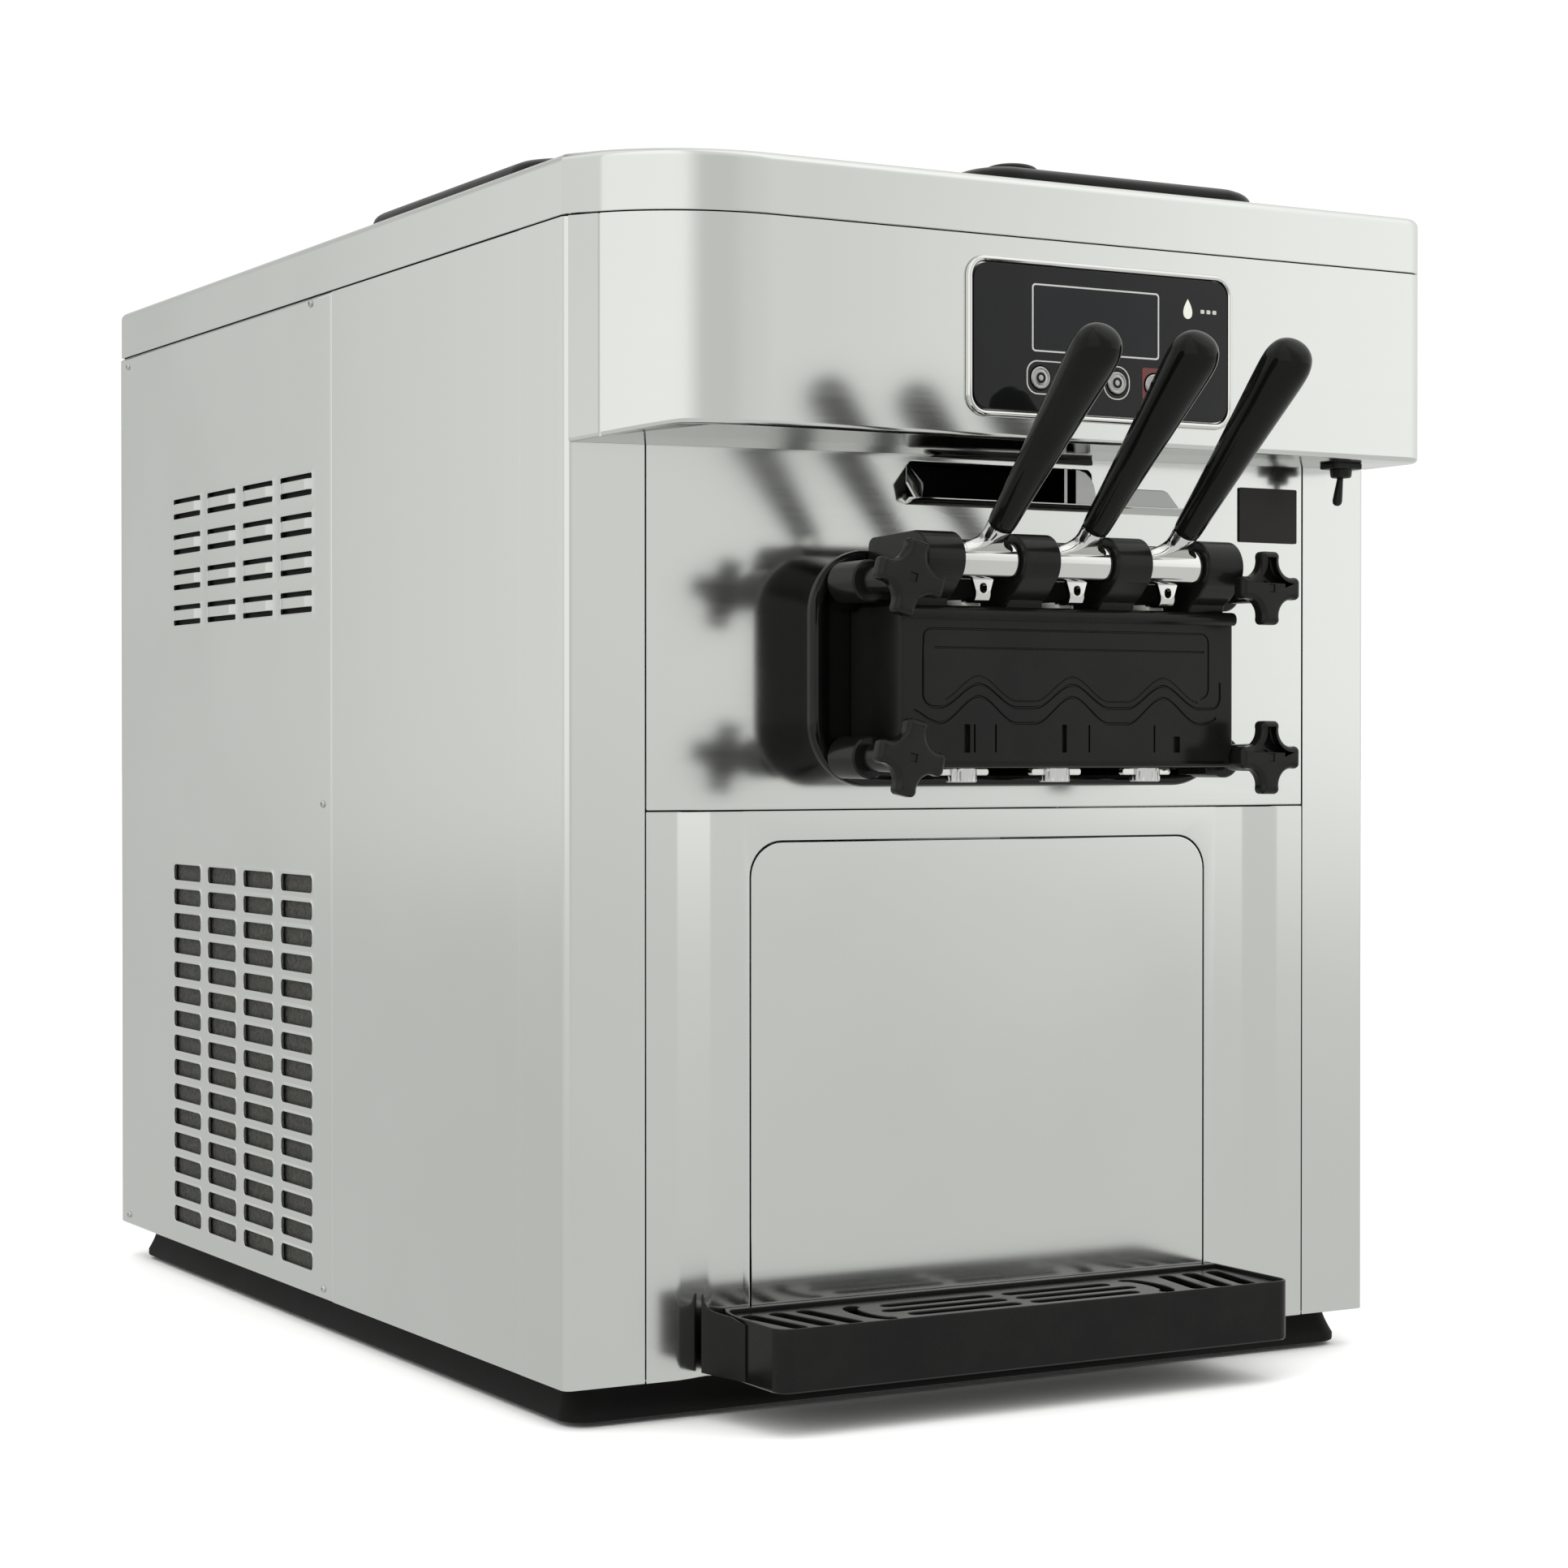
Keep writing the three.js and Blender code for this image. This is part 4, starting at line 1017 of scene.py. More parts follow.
# radius, height in front of the panel's face
BUTTON_PROFILE = [(0, -3.4), (6.0, -3.4), (6.35, -3.0), (6.35, -0.35), (6.2, 0.1), (5.7, 0.4),
                  (5.1, 0.36), (4.75, 0.05), (4.4, 0.02), (3.9, 0.16), (2.2, 0.3), (0, 0.34)]
BUTTON_MARK_PROFILE = [(3.0, 0.22), (3.05, 0.42), (2.3, 0.5), (1.6, 0.5), (1.55, 0.3)]


def panel_rim():
    """Half-round chrome frame."""
    outline = rect(-54, 126, 545.8, 634, 12, 12)
    rows = []
    for k in range(13):
        angle = math.pi * k / 12
        rows.append((outline(1.8 - 1.8 * math.cos(angle)),
                     HOOD_FRONT - 0.3 - 2.7 * math.sin(angle) ** 0.8))
    shape = Shape()
    shape.chain(levels(rows, XZ), wrap=True)
    return shape


def printed_frame(name, x0, x1, z0, z1, radius, line, inner_radius, steps):
    """A thin printed line round a rectangle."""
    shape = Shape()
    outlines = (rect_points(x0, x1, z0, z1, radius, steps),
                rect_points(x0 + line, x1 - line, z0 + line, z1 - line, inner_radius, steps))
    outer, inner = [[shape.ring(p) for p in levels([(o, PRINT_BACK), (o, PRINT_FRONT)], XZ)]
                    for o in outlines]
    shape.bridge(*outer)
    shape.bridge(*inner)
    shape.bridge(outer[0], inner[0])
    shape.bridge(outer[1], inner[1])
    build(name, shape, SILVER_PRINT, weighted=False)


def droplet_mark():
    turns = [2 * math.pi * i / 40 for i in range(40)]
    outline = [(94 + (3.6 * math.sin(t)) * (0.5 - 0.5 * math.cos(t)) ** 0.55 * 1.15,
                613.2 + 5.6 * math.cos(t)) for t in turns][::-1]
    return Shape().loft(levels([(outline, PANEL_FACE + 0.61), (outline, PRINT_FRONT)], XZ))


def level_ticks():
    shape = Shape()
    for k in range(3):
        tick = rect_points(103 + 4.2 * k, 105.6 + 4.2 * k, 611.2, 613.4, 0.5, 3)
        shape.loft(levels([(tick, PANEL_FACE + 0.61), (tick, PRINT_FRONT)], XZ))
    return shape


build("panel_rim", panel_rim(), CHROME, "control_bezel")
build("panel_glass",
      Shape().plate(rect(-50, 122, 549.8, 630, 9.2, 10), PANEL_FACE + 0.6, HOOD_FRONT - 0.35,
                    XZ, rim=0.35, segments=2, holes=BUTTON_HOLES, hole_rim=0.15),
      PANEL_GLASS, "control_panel")
build("panel_housing",
      Shape().plate(rect(-45, 116, 554, 625.5, 8, 6), HOOD_FRONT + 0.2, HOOD_FRONT + 12, XZ,
                    rim=0.6, segments=2, holes=BUTTON_HOLES), SATIN_BLACK)
printed_frame("display_outline", -12, 74, 583, 620.5, radius=2.2, line=0.9,
              inner_radius=1.6, steps=5)
build("display_pane",
      Shape().plate(rect(-10.9, 72.9, 584.1, 619.4, 1.5, 4), PANEL_FACE + 0.45,
                    PANEL_FACE + 0.64, XZ, rim=0.05, segments=1, low_rim=0),
      DISPLAY, weighted=False)
printed_frame("button_frame_pair", -15.6, 28.3, 559.4, 578.2, radius=7, line=0.7,
              inner_radius=6.4, steps=8)
printed_frame("button_frame_third", 36.0, 53.8, 559.2, 578.0, radius=8.2, line=0.6,
              inner_radius=7.6, steps=8)
build("red_patch",
      Shape().plate(rect(62.4, 78.8, 560.2, 578.2, 1.2, 4), PRINT_FRONT, PRINT_BACK, XZ,
                    rim=0.05, segments=1, low_rim=0,
                    holes=[circle(BUTTON_X[3], BUTTON_Z, 7.2)]),
      RED_PRINT, weighted=False)
build("droplet_mark", droplet_mark(), PALE_PRINT, weighted=False)
build("level_ticks", level_ticks(), SILVER_PRINT, weighted=False)

for number, x in enumerate(BUTTON_X, 1):
    placement = aim("-Y", (x, 0, BUTTON_Z))
    body = "push_button_%d" % number
    cap = Shape().lathe([(r, h - PANEL_FACE) for r, h in BUTTON_PROFILE], placement, 40)
    build("push_button_cap_%d" % number, cap, BUTTON_METAL, "button_%d" % number,
          body=body, sharp=50)
    mark = Shape().lathe([(r, h - PANEL_FACE) for r, h in BUTTON_MARK_PROFILE], placement, 28,
                         closed=True)
    build("button_mark_%d" % number, mark, SATIN_BLACK, body=body,
          weighted=False)


# ------------------------------------------------------------------ collar and studs
def door_collar():
    """Shallow flared dish between the front sheet and the valve block."""
    rim = rect_points(-138, 138, 343, 472, 35, 14)
    root = rect_points(-118, 118, 351, 463, 30, 14)
    mouth = rect_points(-131, 131, 350, 465, 28, 14)
    base = rect_points(-124, 124, 352, 463, 19, 14)
    rows = [(offset(root, 1.5), FRONT - 0.4)]
    rows += [(lerp(root, rim, (k / 10) ** 1.25), FRONT - 0.8 - 27.2 * k / 10)
             for k in range(11)]
    rows += [(rim, -398.6), (offset(rim, 0.35), -400.4), (offset(rim, 1.2), -401.6),
             (offset(rim, 2.6), -402.0), (offset(rim, 4.4), -402.0),
             (offset(mouth, -1.1), -401.6), (offset(mouth, -0.3), -400.7)]
    rows += [(lerp(mouth, base, (k / 8) ** 0.8), -400.0 + 5.0 * k / 8) for k in range(9)]
    rows += [(offset(base, 0.7), -394.3), (offset(base, 2.0), -394.0)]
    return Shape().loft(levels(rows, XZ))


def clamp_studs():
    thread = [(3.55 + 0.4 * (k % 2), 6 + 0.7 * k) for k in range(79)]
    shape = Shape()
    for x, z, _ in STUDS.values():
        shape.lathe([(0, 0), (3.9, 0)] + thread + [(3.2, 62.4), (0, 62.8)],
                    aim("-Y", (x, -394.2, z)), 20)
    return shape


build("door_collar", door_collar(), GLOSS_BLACK, "freezer_door_flange", sharp=32)
build("clamp_studs", clamp_studs(), CHROME, sharp=60)

# ------------------------------------------------------------------ valve block
# (y, z) sections of the ledge, the wall behind the handles and the knuckles of the pivot
LEDGE = [(-449.0, 433.2), (-450.6, 434.6), (-451.0, 436.6), (-450.4, 438.8), (-448.8, 440.2),
         (-446.4, 440.6), (-403, 440.6), (-403, 433.0)]
REAR_WALL = [(-403, 439.0), (-403, 474), (-404, 476.6), (-407, 478.4), (-416.6, 478.7),
             (-416.9, 478.2), (-416.9, 439.0)]
KNUCKLE = ([(-404, 439.0), (-404, 474), (-405, 476.6), (-408, 478.4)]
           + arc(PIVOT_Y, PIVOT_Z, PIVOT_BOSS, 86, 236, 26)
           + [(-455.6, 449.6), (-451.4, 446.4), (-447.4, 444.4), (-446.2, 442.2),
              (-446.0, 439.0)])
KNUCKLE_SPANS = ((-104, -79.9), (-42.1, -18.9), (18.9, 42.1), (79.9, 104))  # x0, x1


def wave(x0, x1, peak, valley):
    """Round crests under the three valves and flat valleys between them."""
    points = []
    for i in range(121):
        x = x0 + (x1 - x0) * i / 120
        away = abs((x + VALVE_PITCH / 2) % VALVE_PITCH - VALVE_PITCH / 2)
        points.append((x, peak - (peak - valley) * smoothstep(min(1, away / 24.5))))
    return points


# engraved lines: (x, z) path, width, depth
ENGRAVINGS = (
    ([(-96.3, 411.0), (-96.2, 418), (-95.8, 424.6), (-95.2, 426.3), (-93.6, 427.6),
      (-91.4, 428.1), (0, 428.1)] + arc(87.2, 422.8, 5.3, 90, 0, 8)
     + [(92.5, 410), (92.5, 396.6), (91.6, 394.2), (89.6, 392.6), (87.0, 391.6)], 1.2, 0.8),
    ([(-89, 418), (89.5, 418)], 1.1, 0.8),
    ([(-96.3, 412.8)] + arc(-89.5, 393.0, 6.8, 180, 265, 8) + wave(-86, 86, 398.6, 386.1)
     + [(93.5, 386.3)] + arc(94.5, 392.4, 6.0, 280, 360, 6) + [(100.5, 401)], 1.6, 1.0),
    ([(-101.9, 384.5), (-98, 382.6), (-93, 379.6)] + wave(-87, 88, 392, 377.6)
     + [(93, 378.6), (98, 381.0)], 1.5, 0.95),
    (wave(-82, 85, 403, 389.6), 0.9, 0.5),
)
# upright slots in the front plate: x0, x1, z0, z1
PLATE_SLOTS = (
    (-70.1, -66.3, 361.7, 377), (-63.7, -62.9, 361.7, 377), (-50.1, -49.3, 361.7, 377),
    (-6.3, -3.5, 361.7, 377), (11.2, 12.0, 361.7, 377), (55.1, 55.9, 361.7, 377),
    (68.3, 72.9, 361.7, 370.7),
)


def groove(path, width, depth):
    """Tool with a narrowing tip that runs along a path on the block's front."""
    y = BLOCK_FRONT
    section = ((1, y - 1.0), (-1, y - 1.0), (-1, y), (-0.45, y + depth), (0.45, y + depth),
               (1, y))
    rings = []
    for point, shift in zip(path, sideways(path, width / 2)):
        centre = Vector(point)
        rings.append([(centre.x + shift.x * k, depth_y, centre.y + shift.y * k)
                      for k, depth_y in section])
    return Shape().loft(rings)


def shape_valve_block(thing):
    join(thing, Shape().plate(rect(-104, 104, 420, 461, 5, 5), -402.4, -394.6, XZ, rim=0.8,
                              segments=2))
    join(thing, prism(LEDGE, -110, 110, rim=0.9, segments=2))
    join(thing, prism(REAR_WALL, -104, 104, rim=0.9, segments=2))
    for x0, x1 in KNUCKLE_SPANS:
        join(thing, prism(KNUCKLE, x0, x1, rim=1.3, segments=4))
    # round stud bosses, each with an arm to the block
    for x, z, _ in STUDS.values():
        join(thing, rod("+Y", (x, 0, z), 11.5, -431.5, -404, sides=40, chamfer=1.0))
        x0, x1 = sorted((x, 103 if x > 0 else -103))
        join(thing, Shape().plate(rect(x0, x1, z - 10, z + 10, 0.8, 2), -431.2, -404.3, XZ,
                                  segments=1))
    for x, z, _ in STUDS.values():
        cut(thing, rod("+Y", (x, 0, z), 4.6, -440, -390, sides=24))
        cut(thing, rod("+Y", (x, 0, z), 8.9, -470, -431.5))
    cut(thing, rod("+X", (0, PIVOT_Y, PIVOT_Z), PIVOT_BORE, -120, 120, sides=28))
    # plunger bores, and recesses for the hubs and tongues of the draw handles
    for x in VALVES.values():
        cut(thing, rod("+Z", (x, BORE_Y, 0), 11, 346, 450, sides=40))
        cut(thing, punch(rect(x - 18.9, x + 18.9, 441.0, 490, 1.0, 2), -480, -417))
    for path, width, depth in ENGRAVINGS:
        cut(thing, groove(path, width, depth))
    for x0, x1, z0, z1 in PLATE_SLOTS:
        cut(thing, punch(rect(x0 - 0.15, x1 + 0.15, z0, z1, 0.5, 3), -449, -444.2))
    # line above the foot of the plate
    cut(thing, punch(rect(-104, 104, 355.6, 357.0, 0.6, 3), -449, -446.2))


build("valve_block",
      Shape().plate(rect(-110, 110, 353.6, 440.0, 3.0, 6), BLOCK_FRONT, -394.6, XZ, rim=0.6,
                    segments=4, low_rim=2.0),
      VALVE_BLACK, "valve_body", sharp=33, reshape=shape_valve_block)
build("handle_pivot_rod",
      rod("+X", (0, PIVOT_Y, PIVOT_Z), 3.95, -102.4, 102.4, sides=40, chamfer=0.8),
      CHROME, "pivot_shaft", sharp=40)

# ------------------------------------------------------------------ draw handles
# stem: distance from the pivot, half width, half thickness, corner radius
STEM = ((8.4, 16.4, 3.4, 2.6), (10.8, 14.4, 3.5, 2.8), (12.2, 11.6, 3.8, 3.0),
        (14.0, 9.3, 4.3, 3.4), (16.5, 7.7, 4.9, 4.2), (19.5, 7.0, 5.8, 5.2),
        (24, 7.2, 7.0, 6.98), (26.2, 7.1, 7.1, 7.08))
# centre line of the tongue below the hub: y, z
TONGUE = [(-450.0, 461.0), (-450.1, 453.0), (-450.3, 446.5), (-449.6, 445.0), (-448.2, 444.2),
          (-445.0, 443.9), (-440.6, 443.9)]
TONGUE_SHOULDER = [(8.6, 459.5), (7.2, 456.0), (5.9, 452.2), (4.7, 448.4)]  # half width, z
# radius, distance from the pivot
GRIP_PROFILE = [(0, 26.8), (5.4, 26.8), (7.0, 26.9), (7.5, 27.5), (7.7, 30)] + spline(
    [(7.8, 31), (8.6, 52), (10.0, 80), (11.6, 110), (12.9, 133), (13.3, 144), (12.8, 150.6),
     (10.9, 155.8), (7.6, 159.0), (3.7, 160.3), (0.0, 160.6)], 6)


def lever_frame(x):
    """Local +Z runs from the pivot out along the handle."""
    return (Matrix.Translation((x, PIVOT_Y, PIVOT_Z))
            @ Matrix.Rotation(math.radians(90) - LEVER_TILT, 4, "X"))


def add_arm(thing, x):
    placement = lever_frame(x)
    join(thing, Shape().loft([
        [placement @ Vector((u, v, along)) for u, v in
         rect_points(-width, width, -thickness, thickness, radius, 7)]
        for along, width, thickness, radius in STEM]))
    # rod inside the grip
    join(thing, Shape().lathe([(0, 25), (4.75, 25), (4.75, 57), (4.2, 57.8), (0, 57.8)],
                              placement, 24))
    # tongue with a slot, its foot bent back over the ledge
    shifts = sideways(TONGUE, 1.7)
    front = [(y - shift.x, z - shift.y) for (y, z), shift in zip(TONGUE, shifts)]
    back = [(y + shift.x, z + shift.y) for (y, z), shift in zip(TONGUE, shifts)]
    join(thing, prism(front + back[::-1], x - 4.7, x + 4.7, rim=0.5, segments=2))
    shoulder = ([(x - half, z) for half, z in TONGUE_SHOULDER]
                + [(x + half, z) for half, z in TONGUE_SHOULDER[::-1]])
    join(thing, Shape().plate(insets_of(shoulder), -451.9, -448.4, XZ, segments=2))
    cut(thing, punch(rect(x - 2.3, x + 2.3, 447.3, 453.0, 2.25, 7), -458, -444))
    cut(thing, rod("+X", (0, PIVOT_Y, PIVOT_Z), PIVOT_BORE, x - 30, x + 30))


def build_draw_handle(side, x):
    body = "draw_handle_" + side
    hub = rod("+X", (0, PIVOT_Y, PIVOT_Z), 10.5, x - 18.3, x + 18.3, sides=56, chamfer=0.9)
    build("draw_lever_" + side, hub, CHROME, "handle_arm_" + side, body=body,
          sharp=38, reshape=lambda thing: add_arm(thing, x))
    build("draw_grip_" + side, Shape().lathe(GRIP_PROFILE, lever_frame(x), 64), GRIP_BLACK,
          "handle_grip_" + side, body=body, sharp=45)


# ------------------------------------------------------------------ plungers and nozzles
SEAL_HEIGHTS = (366, 398, 412)
# nozzle: flute depth share, z, inset
NOZZLE_STEPS = ((0, 345.5, 1.0), (0, 345.8, 0.35), (1, 346.4, 0), (1, 351.2, 0),
                (0, 351.9, 0), (0, 353.0, 0), (0, 353.2, 0.4))


def build_plunger(side, x):
    body = "plunger_unit_" + side
    placement = aim("+Z", (x, BORE_Y, 0))
    profile = [(0, 356), (9.6, 356), (10.35, 356.8)]
    for z in SEAL_HEIGHTS:
        profile += [(10.35, z - 2.2), (9.3, z - 2.0), (9.3, z + 2.0), (10.35, z + 2.2)]
    profile += [(10.35, 442.8), (9.5, 444), (0, 444)]

    def cut_fork(thing):
        """Slot across the head, with a pin through it."""
        cut(thing, punch(rect(x - 5.4, x + 5.4, 431, 460, 1.0, 3), BORE_Y - 14, BORE_Y + 14))
        join(thing, rod("+X", (0, -425, 441), 2.4, x - 8, x + 8, sides=20))
    build("plunger_body_" + side, Shape().lathe(profile, placement, 48), WHITE_PLASTIC,
          "plunger_" + side, body=body, sharp=40, reshape=cut_fork)
    seals = Shape()
    turns = [2 * math.pi * k / 10 for k in range(10)]
    for z in SEAL_HEIGHTS:
        seals.lathe([(9.4 + math.cos(a), z + 1.5 * math.sin(a)) for a in turns], placement, 40,
                    closed=True)
    build("plunger_seals_" + side, seals, RUBBER, body=body)


def build_nozzle(side, x):
    """Fluted cap with a star mouth and two wings."""
    def fluted(share):
        waves = [0.5 - 0.5 * math.cos(18 * 2 * math.pi * i / 72) for i in range(72)]
        return polar(x, BORE_Y, [8.6 - 0.45 * wave_height * share for wave_height in waves])

    def add_wings_and_mouth(thing):
        for sign in (-1, 1):
            x0, x1 = sorted((x + sign * 7, x + sign * 16.4))
            join(thing, Shape().plate(rect(x0, x1, 349.3, 353.1, 1.4, 5), BORE_Y - 2.1,
                                      BORE_Y + 2.1, XZ, segments=2))
        star = polar(x, BORE_Y, [3.3 + 1.5 * math.cos(6 * (2 * math.pi * i / 60))
                                 for i in range(60)])
        cut(thing, Shape().loft(levels([(star, 340), (star, 350.6)])))
        cut(thing, rod("+Z", (x, BORE_Y, 0), 6.6, 349.8, 358))
    cap = Shape().loft(levels([(offset(fluted(share), inset), z)
                               for share, z, inset in NOZZLE_STEPS]))
    build("star_nozzle_" + side, cap, CHROME, "nozzle_" + side, sharp=32,
          reshape=add_wings_and_mouth)


for side, x in VALVES.items():
    build_draw_handle(side, x)
    build_plunger(side, x)
    build_nozzle(side, x)

# ------------------------------------------------------------------ clamp knobs
KNOB_FRONT, KNOB_REAR = -474.7, -465.9
# radius, distance in front of y = 0
KNOB_NECK = [(4.5, 435.2), (7.0, 435.2), (7.45, 436.2), (7.95, 462.5), (8.2, 464.2),
             (9.0, 465.4), (9.6, 466.2), (9.6, 467.0), (4.5, 467.0)]


def knob_outline(degrees):
    """Four flat-ended lobes with round shoulders, joined by round waists."""
    lobe = (arc(17.5, -3.3, 3, -99.2, 0, 8)[:-1] + arc(17.5, 3.3, 3, 0, 99.2, 8)
            + arc(15.49, 15.49, 9.41, -80.8, -189.2, 14)[1:-1])
    return [p for i in range(4) for p in turned(lobe, math.radians(90 * i - degrees))]


def clamp_knob(x, z, degrees):
    shape = Shape()
    outline = insets_of(knob_outline(degrees))
    steps = [(3.2 * (1 - math.sin(a)), KNOB_FRONT + 3.2 * (1 - math.cos(a)))
             for a in quarter(6)]
    steps += [(0, -469.6)]
    steps += [(1.8 * (1 - math.cos(a)), KNOB_REAR - 1.8 * (1 - math.sin(a)))
              for a in quarter(4)]
    loops = shape.chain([[(x + u, y, z + v) for u, v in outline(inset)] for inset, y in steps])
    shape.cap(loops[-1])
    # square recess in the front face
    angles = [math.radians(45 - degrees) + math.pi / 2 * i for i in range(4)]
    square = [(x + 3.3 * math.cos(a), z + 3.3 * math.sin(a)) for a in angles]
    base = lerp([(x, z)] * 4, square, 0.8)
    mouth, bottom = shape.chain(levels([(square, KNOB_FRONT), (base, KNOB_FRONT + 0.9)], XZ))
    shape.cap(bottom)
    shape.cap_with_holes([loops[0], mouth])
    # neck, a tube round the stud
    return shape.lathe(KNOB_NECK, aim("-Y", (x, 0, z)), 40, closed=True)


for name, stud in STUDS.items():
    build("clamp_knob_" + name, clamp_knob(*stud), VALVE_BLACK,
          "star_knob_" + name, body="knob_" + name, sharp=40)

# ------------------------------------------------------------------ drip tray
TRAY_CORNER = 9
# centre line of the strap at the tray's left end, and its top edge: x, y, z
STRAP = [(-187.6, -368.4, 68.5), (-187.4, -370.0, 64.5), (-187.0, -373.0, 61.8),
         (-186.2, -377.5, 60.6), (-185.2, -382.5, 60.0), (-184.0, -388.0, 59.6),
         (-182.8, -393.0, 59.3), (-181.4, -399.0, 57.5), (-180.2, -404.0, 56.5)]


def tray_outline(inset):
    radius = TRAY_CORNER - inset
    y = TRAY_Y0 + TRAY_CORNER
    return ([(TRAY_X1 - inset, TRAY_Y1 - inset), (TRAY_X0 + 8 + inset, TRAY_Y1 - inset),
             (TRAY_X0 + 3.9 + inset, TRAY_Y1 - 9 - inset * 0.3),
             (TRAY_X0 + 1.5 + inset, TRAY_Y1 - 20), (TRAY_X0 + inset, TRAY_Y1 - 30)]
            + arc(TRAY_X0 + TRAY_CORNER, y, radius, 180, 270, 8)
            + arc(TRAY_X1 - TRAY_CORNER, y, radius, 270, 360, 8))


def tray_inside(inset):
    """The outline with a thicker rear wall."""
    return [(u, min(v, TRAY_Y1 - 3.6 - inset)) for u, v in tray_outline(inset)]


def tray_pan():
    # inset, z
    outside = [(2.4, TRAY_Z0), (1.0, TRAY_Z0 + 0.3), (0.25, TRAY_Z0 + 1.1), (0, TRAY_Z0 + 2.4),
               (0, TRAY_Z1 - 4.2), (0, TRAY_Z1 - 0.8), (0.25, TRAY_Z1 - 0.2), (0.7, TRAY_Z1)]
    inside = [(1.1, TRAY_Z1), (1.55, TRAY_Z1 - 0.2), (1.8, TRAY_Z1 - 0.8),
              (1.8, TRAY_Z1 - 5.7), (2.1, TRAY_Z1 - 6), (2.8, TRAY_Z1 - 6),
              (3.0, TRAY_Z1 - 6.4), (3.0, TRAY_Z0 + 5), (3.6, TRAY_Z0 + 3.6),
              (5.2, TRAY_Z0 + 3)]
    return Shape().loft(levels([(tray_outline(inset), z) for inset, z in outside]
                               + [(tray_inside(inset), z) for inset, z in inside]))


def tray_grille():
    y0, y1 = TRAY_Y0 + 12.5, TRAY_Y1 - 16
    middle_x, middle_y = (TRAY_X0 + TRAY_X1) / 2, (y0 + y1) / 2
    bow = [math.radians(-90 + 180 * i / 12) for i in range(13)]
    holes = []
    for sign in (-1, 1):
        # leaning slots at the ends
        for k in range(3):
            x = middle_x + sign * (152 - 17 * k)
            path = [(x - sign * 3.5, y0 + 3), (x + sign * 3.5, y1 - 3)]
            holes.append(capsule(path[::-sign], 9.8))
        # one bowed slot round the lengthwise group
        x = middle_x + sign * 98
        path = [(x + sign * (6.5 * math.cos(t) - 6.5),
                 middle_y + (y1 - y0 - 7) / 2 * math.sin(t)) for t in bow]
        holes.append(capsule(path[::-sign], 8.0))
        for shift, reach in ((-14.6, 72), (0, 80), (14.6, 72)):
            y = middle_y + shift
            path = [(middle_x + sign * 8, y), (middle_x + sign * reach, y)]
            holes.append(capsule(path[::sign], 8.8))
    return Shape().plate(lambda inset: tray_inside(2.4 + inset), TRAY_Z1 - 5.5, TRAY_Z1 - 2.2,
                         rim=0.8, low_rim=0.3, holes=holes, hole_rim=0.7)


def tray_strap():
    """Bent strap that runs back from the tray's left end."""
    rings = []
    for (x, y, top), shift in zip(STRAP, sideways([p[:2] for p in STRAP], 0.7)):
        section = ((1, 26.0), (1, top - 0.4), (0.5, top), (-0.5, top), (-1, top - 0.4),
                   (-1, 26.0))
        rings.append([(x + shift.x * k, y + shift.y * k, z) for k, z in section])
    return Shape().loft(rings)


build("tray_pan", tray_pan(), TRAY_BLACK, "drip_tray", body="tray", sharp=30)
build("tray_grille", tray_grille(), TRAY_BLACK, "drip_grille", body="grille",
      sharp=30)
build("tray_strap", tray_strap(), SATIN_BLACK, body="tray")

# ------------------------------------------------------------------ hoppers and lids
# hopper, outside then inside: half width, corner radius, z; the half depth is 30 more
HOPPER_STEPS = (
    (86.5, 12, 520), (89, 14, 521), (90, 15, 523.5), (90, 15, TOP + 0.2),
    (90.3, 15.3, TOP + 0.45), (95.2, 19.5, TOP + 0.4), (95.9, 20, TOP + 0.8),
    (95.9, 20, TOP + 1.4), (95.2, 19.5, TOP + 1.9), (90.4, 15.2, TOP + 1.85),
    (88.9, 14, TOP + 1.3), (88.5, 13.5, TOP + 0.2), (88.5, 13.5, 527), (87, 12, 523),
    (83, 9, 521.5),
)
LID_FOOT = TOP + 2.4
# lid: inset, height above its foot
LID_STEPS = (
    (24, 10), (4.0, 10), (4.0, 0.6), (3.6, 0.15), (3.0, 0), (0.9, 0), (0.2, 0.35), (0, 1.1),
    (0, 3.2), (0.5, 3.6), (0.5, 4.6), (0, 5.0), (0, 14.2), (0.35, 16.2), (1.2, 18.4),
    (2.8, 20.3), (5.4, 22.0), (9, 23.4), (14, 24.5), (22, 25.3), (34, 25.8), (60, 26.0),
)
# radius, height above the lid's foot
LID_KNOB = [(0, 24.5), (30, 25.2)] + spline(
    [(27, 26.0), (20.0, 27.4), (16.0, 30.5), (14.4, 34.5), (15.0, 38.5), (16.9, 42.2),
     (17.2, 45.2), (15.0, 48.2), (9.0, 49.9), (0.0, 50.4)], 5)


def hopper(x, y):
    return Shape().loft(levels([
        (rect_points(x - half, x + half, y - (half + 30), y + (half + 30), radius), z)
        for half, radius, z in HOPPER_STEPS]))


def lid(x, y):
    return Shape().loft(levels([
        (rect_points(x - 104 + inset, x + 104 - inset, y - 130 + inset, y + 130 - inset,
                     max(30 - inset * 0.9, 3), 12), LID_FOOT + height)
        for inset, height in LID_STEPS]))


def build_hopper(side, x, y):
    def cut_outlet(thing):
        cut(thing, rod("+Z", (x * 0.62, y - 88, 0), 11, 510, 530))

    def add_knob(thing):
        join(thing, Shape().lathe(LID_KNOB, aim("+Z", (x, y, LID_FOOT)), 48))
    build("mix_hopper_" + side, hopper(x, y), STEEL, "hopper_" + side, sharp=30,
          reshape=cut_outlet)
    build("lid_shell_" + side, lid(x, y), LID_BLACK, "hopper_lid_" + side,
          body="lid_" + side, sharp=30, reshape=add_knob)


for side, (x, y) in HOPPERS.items():
    build_hopper(side, x, y)


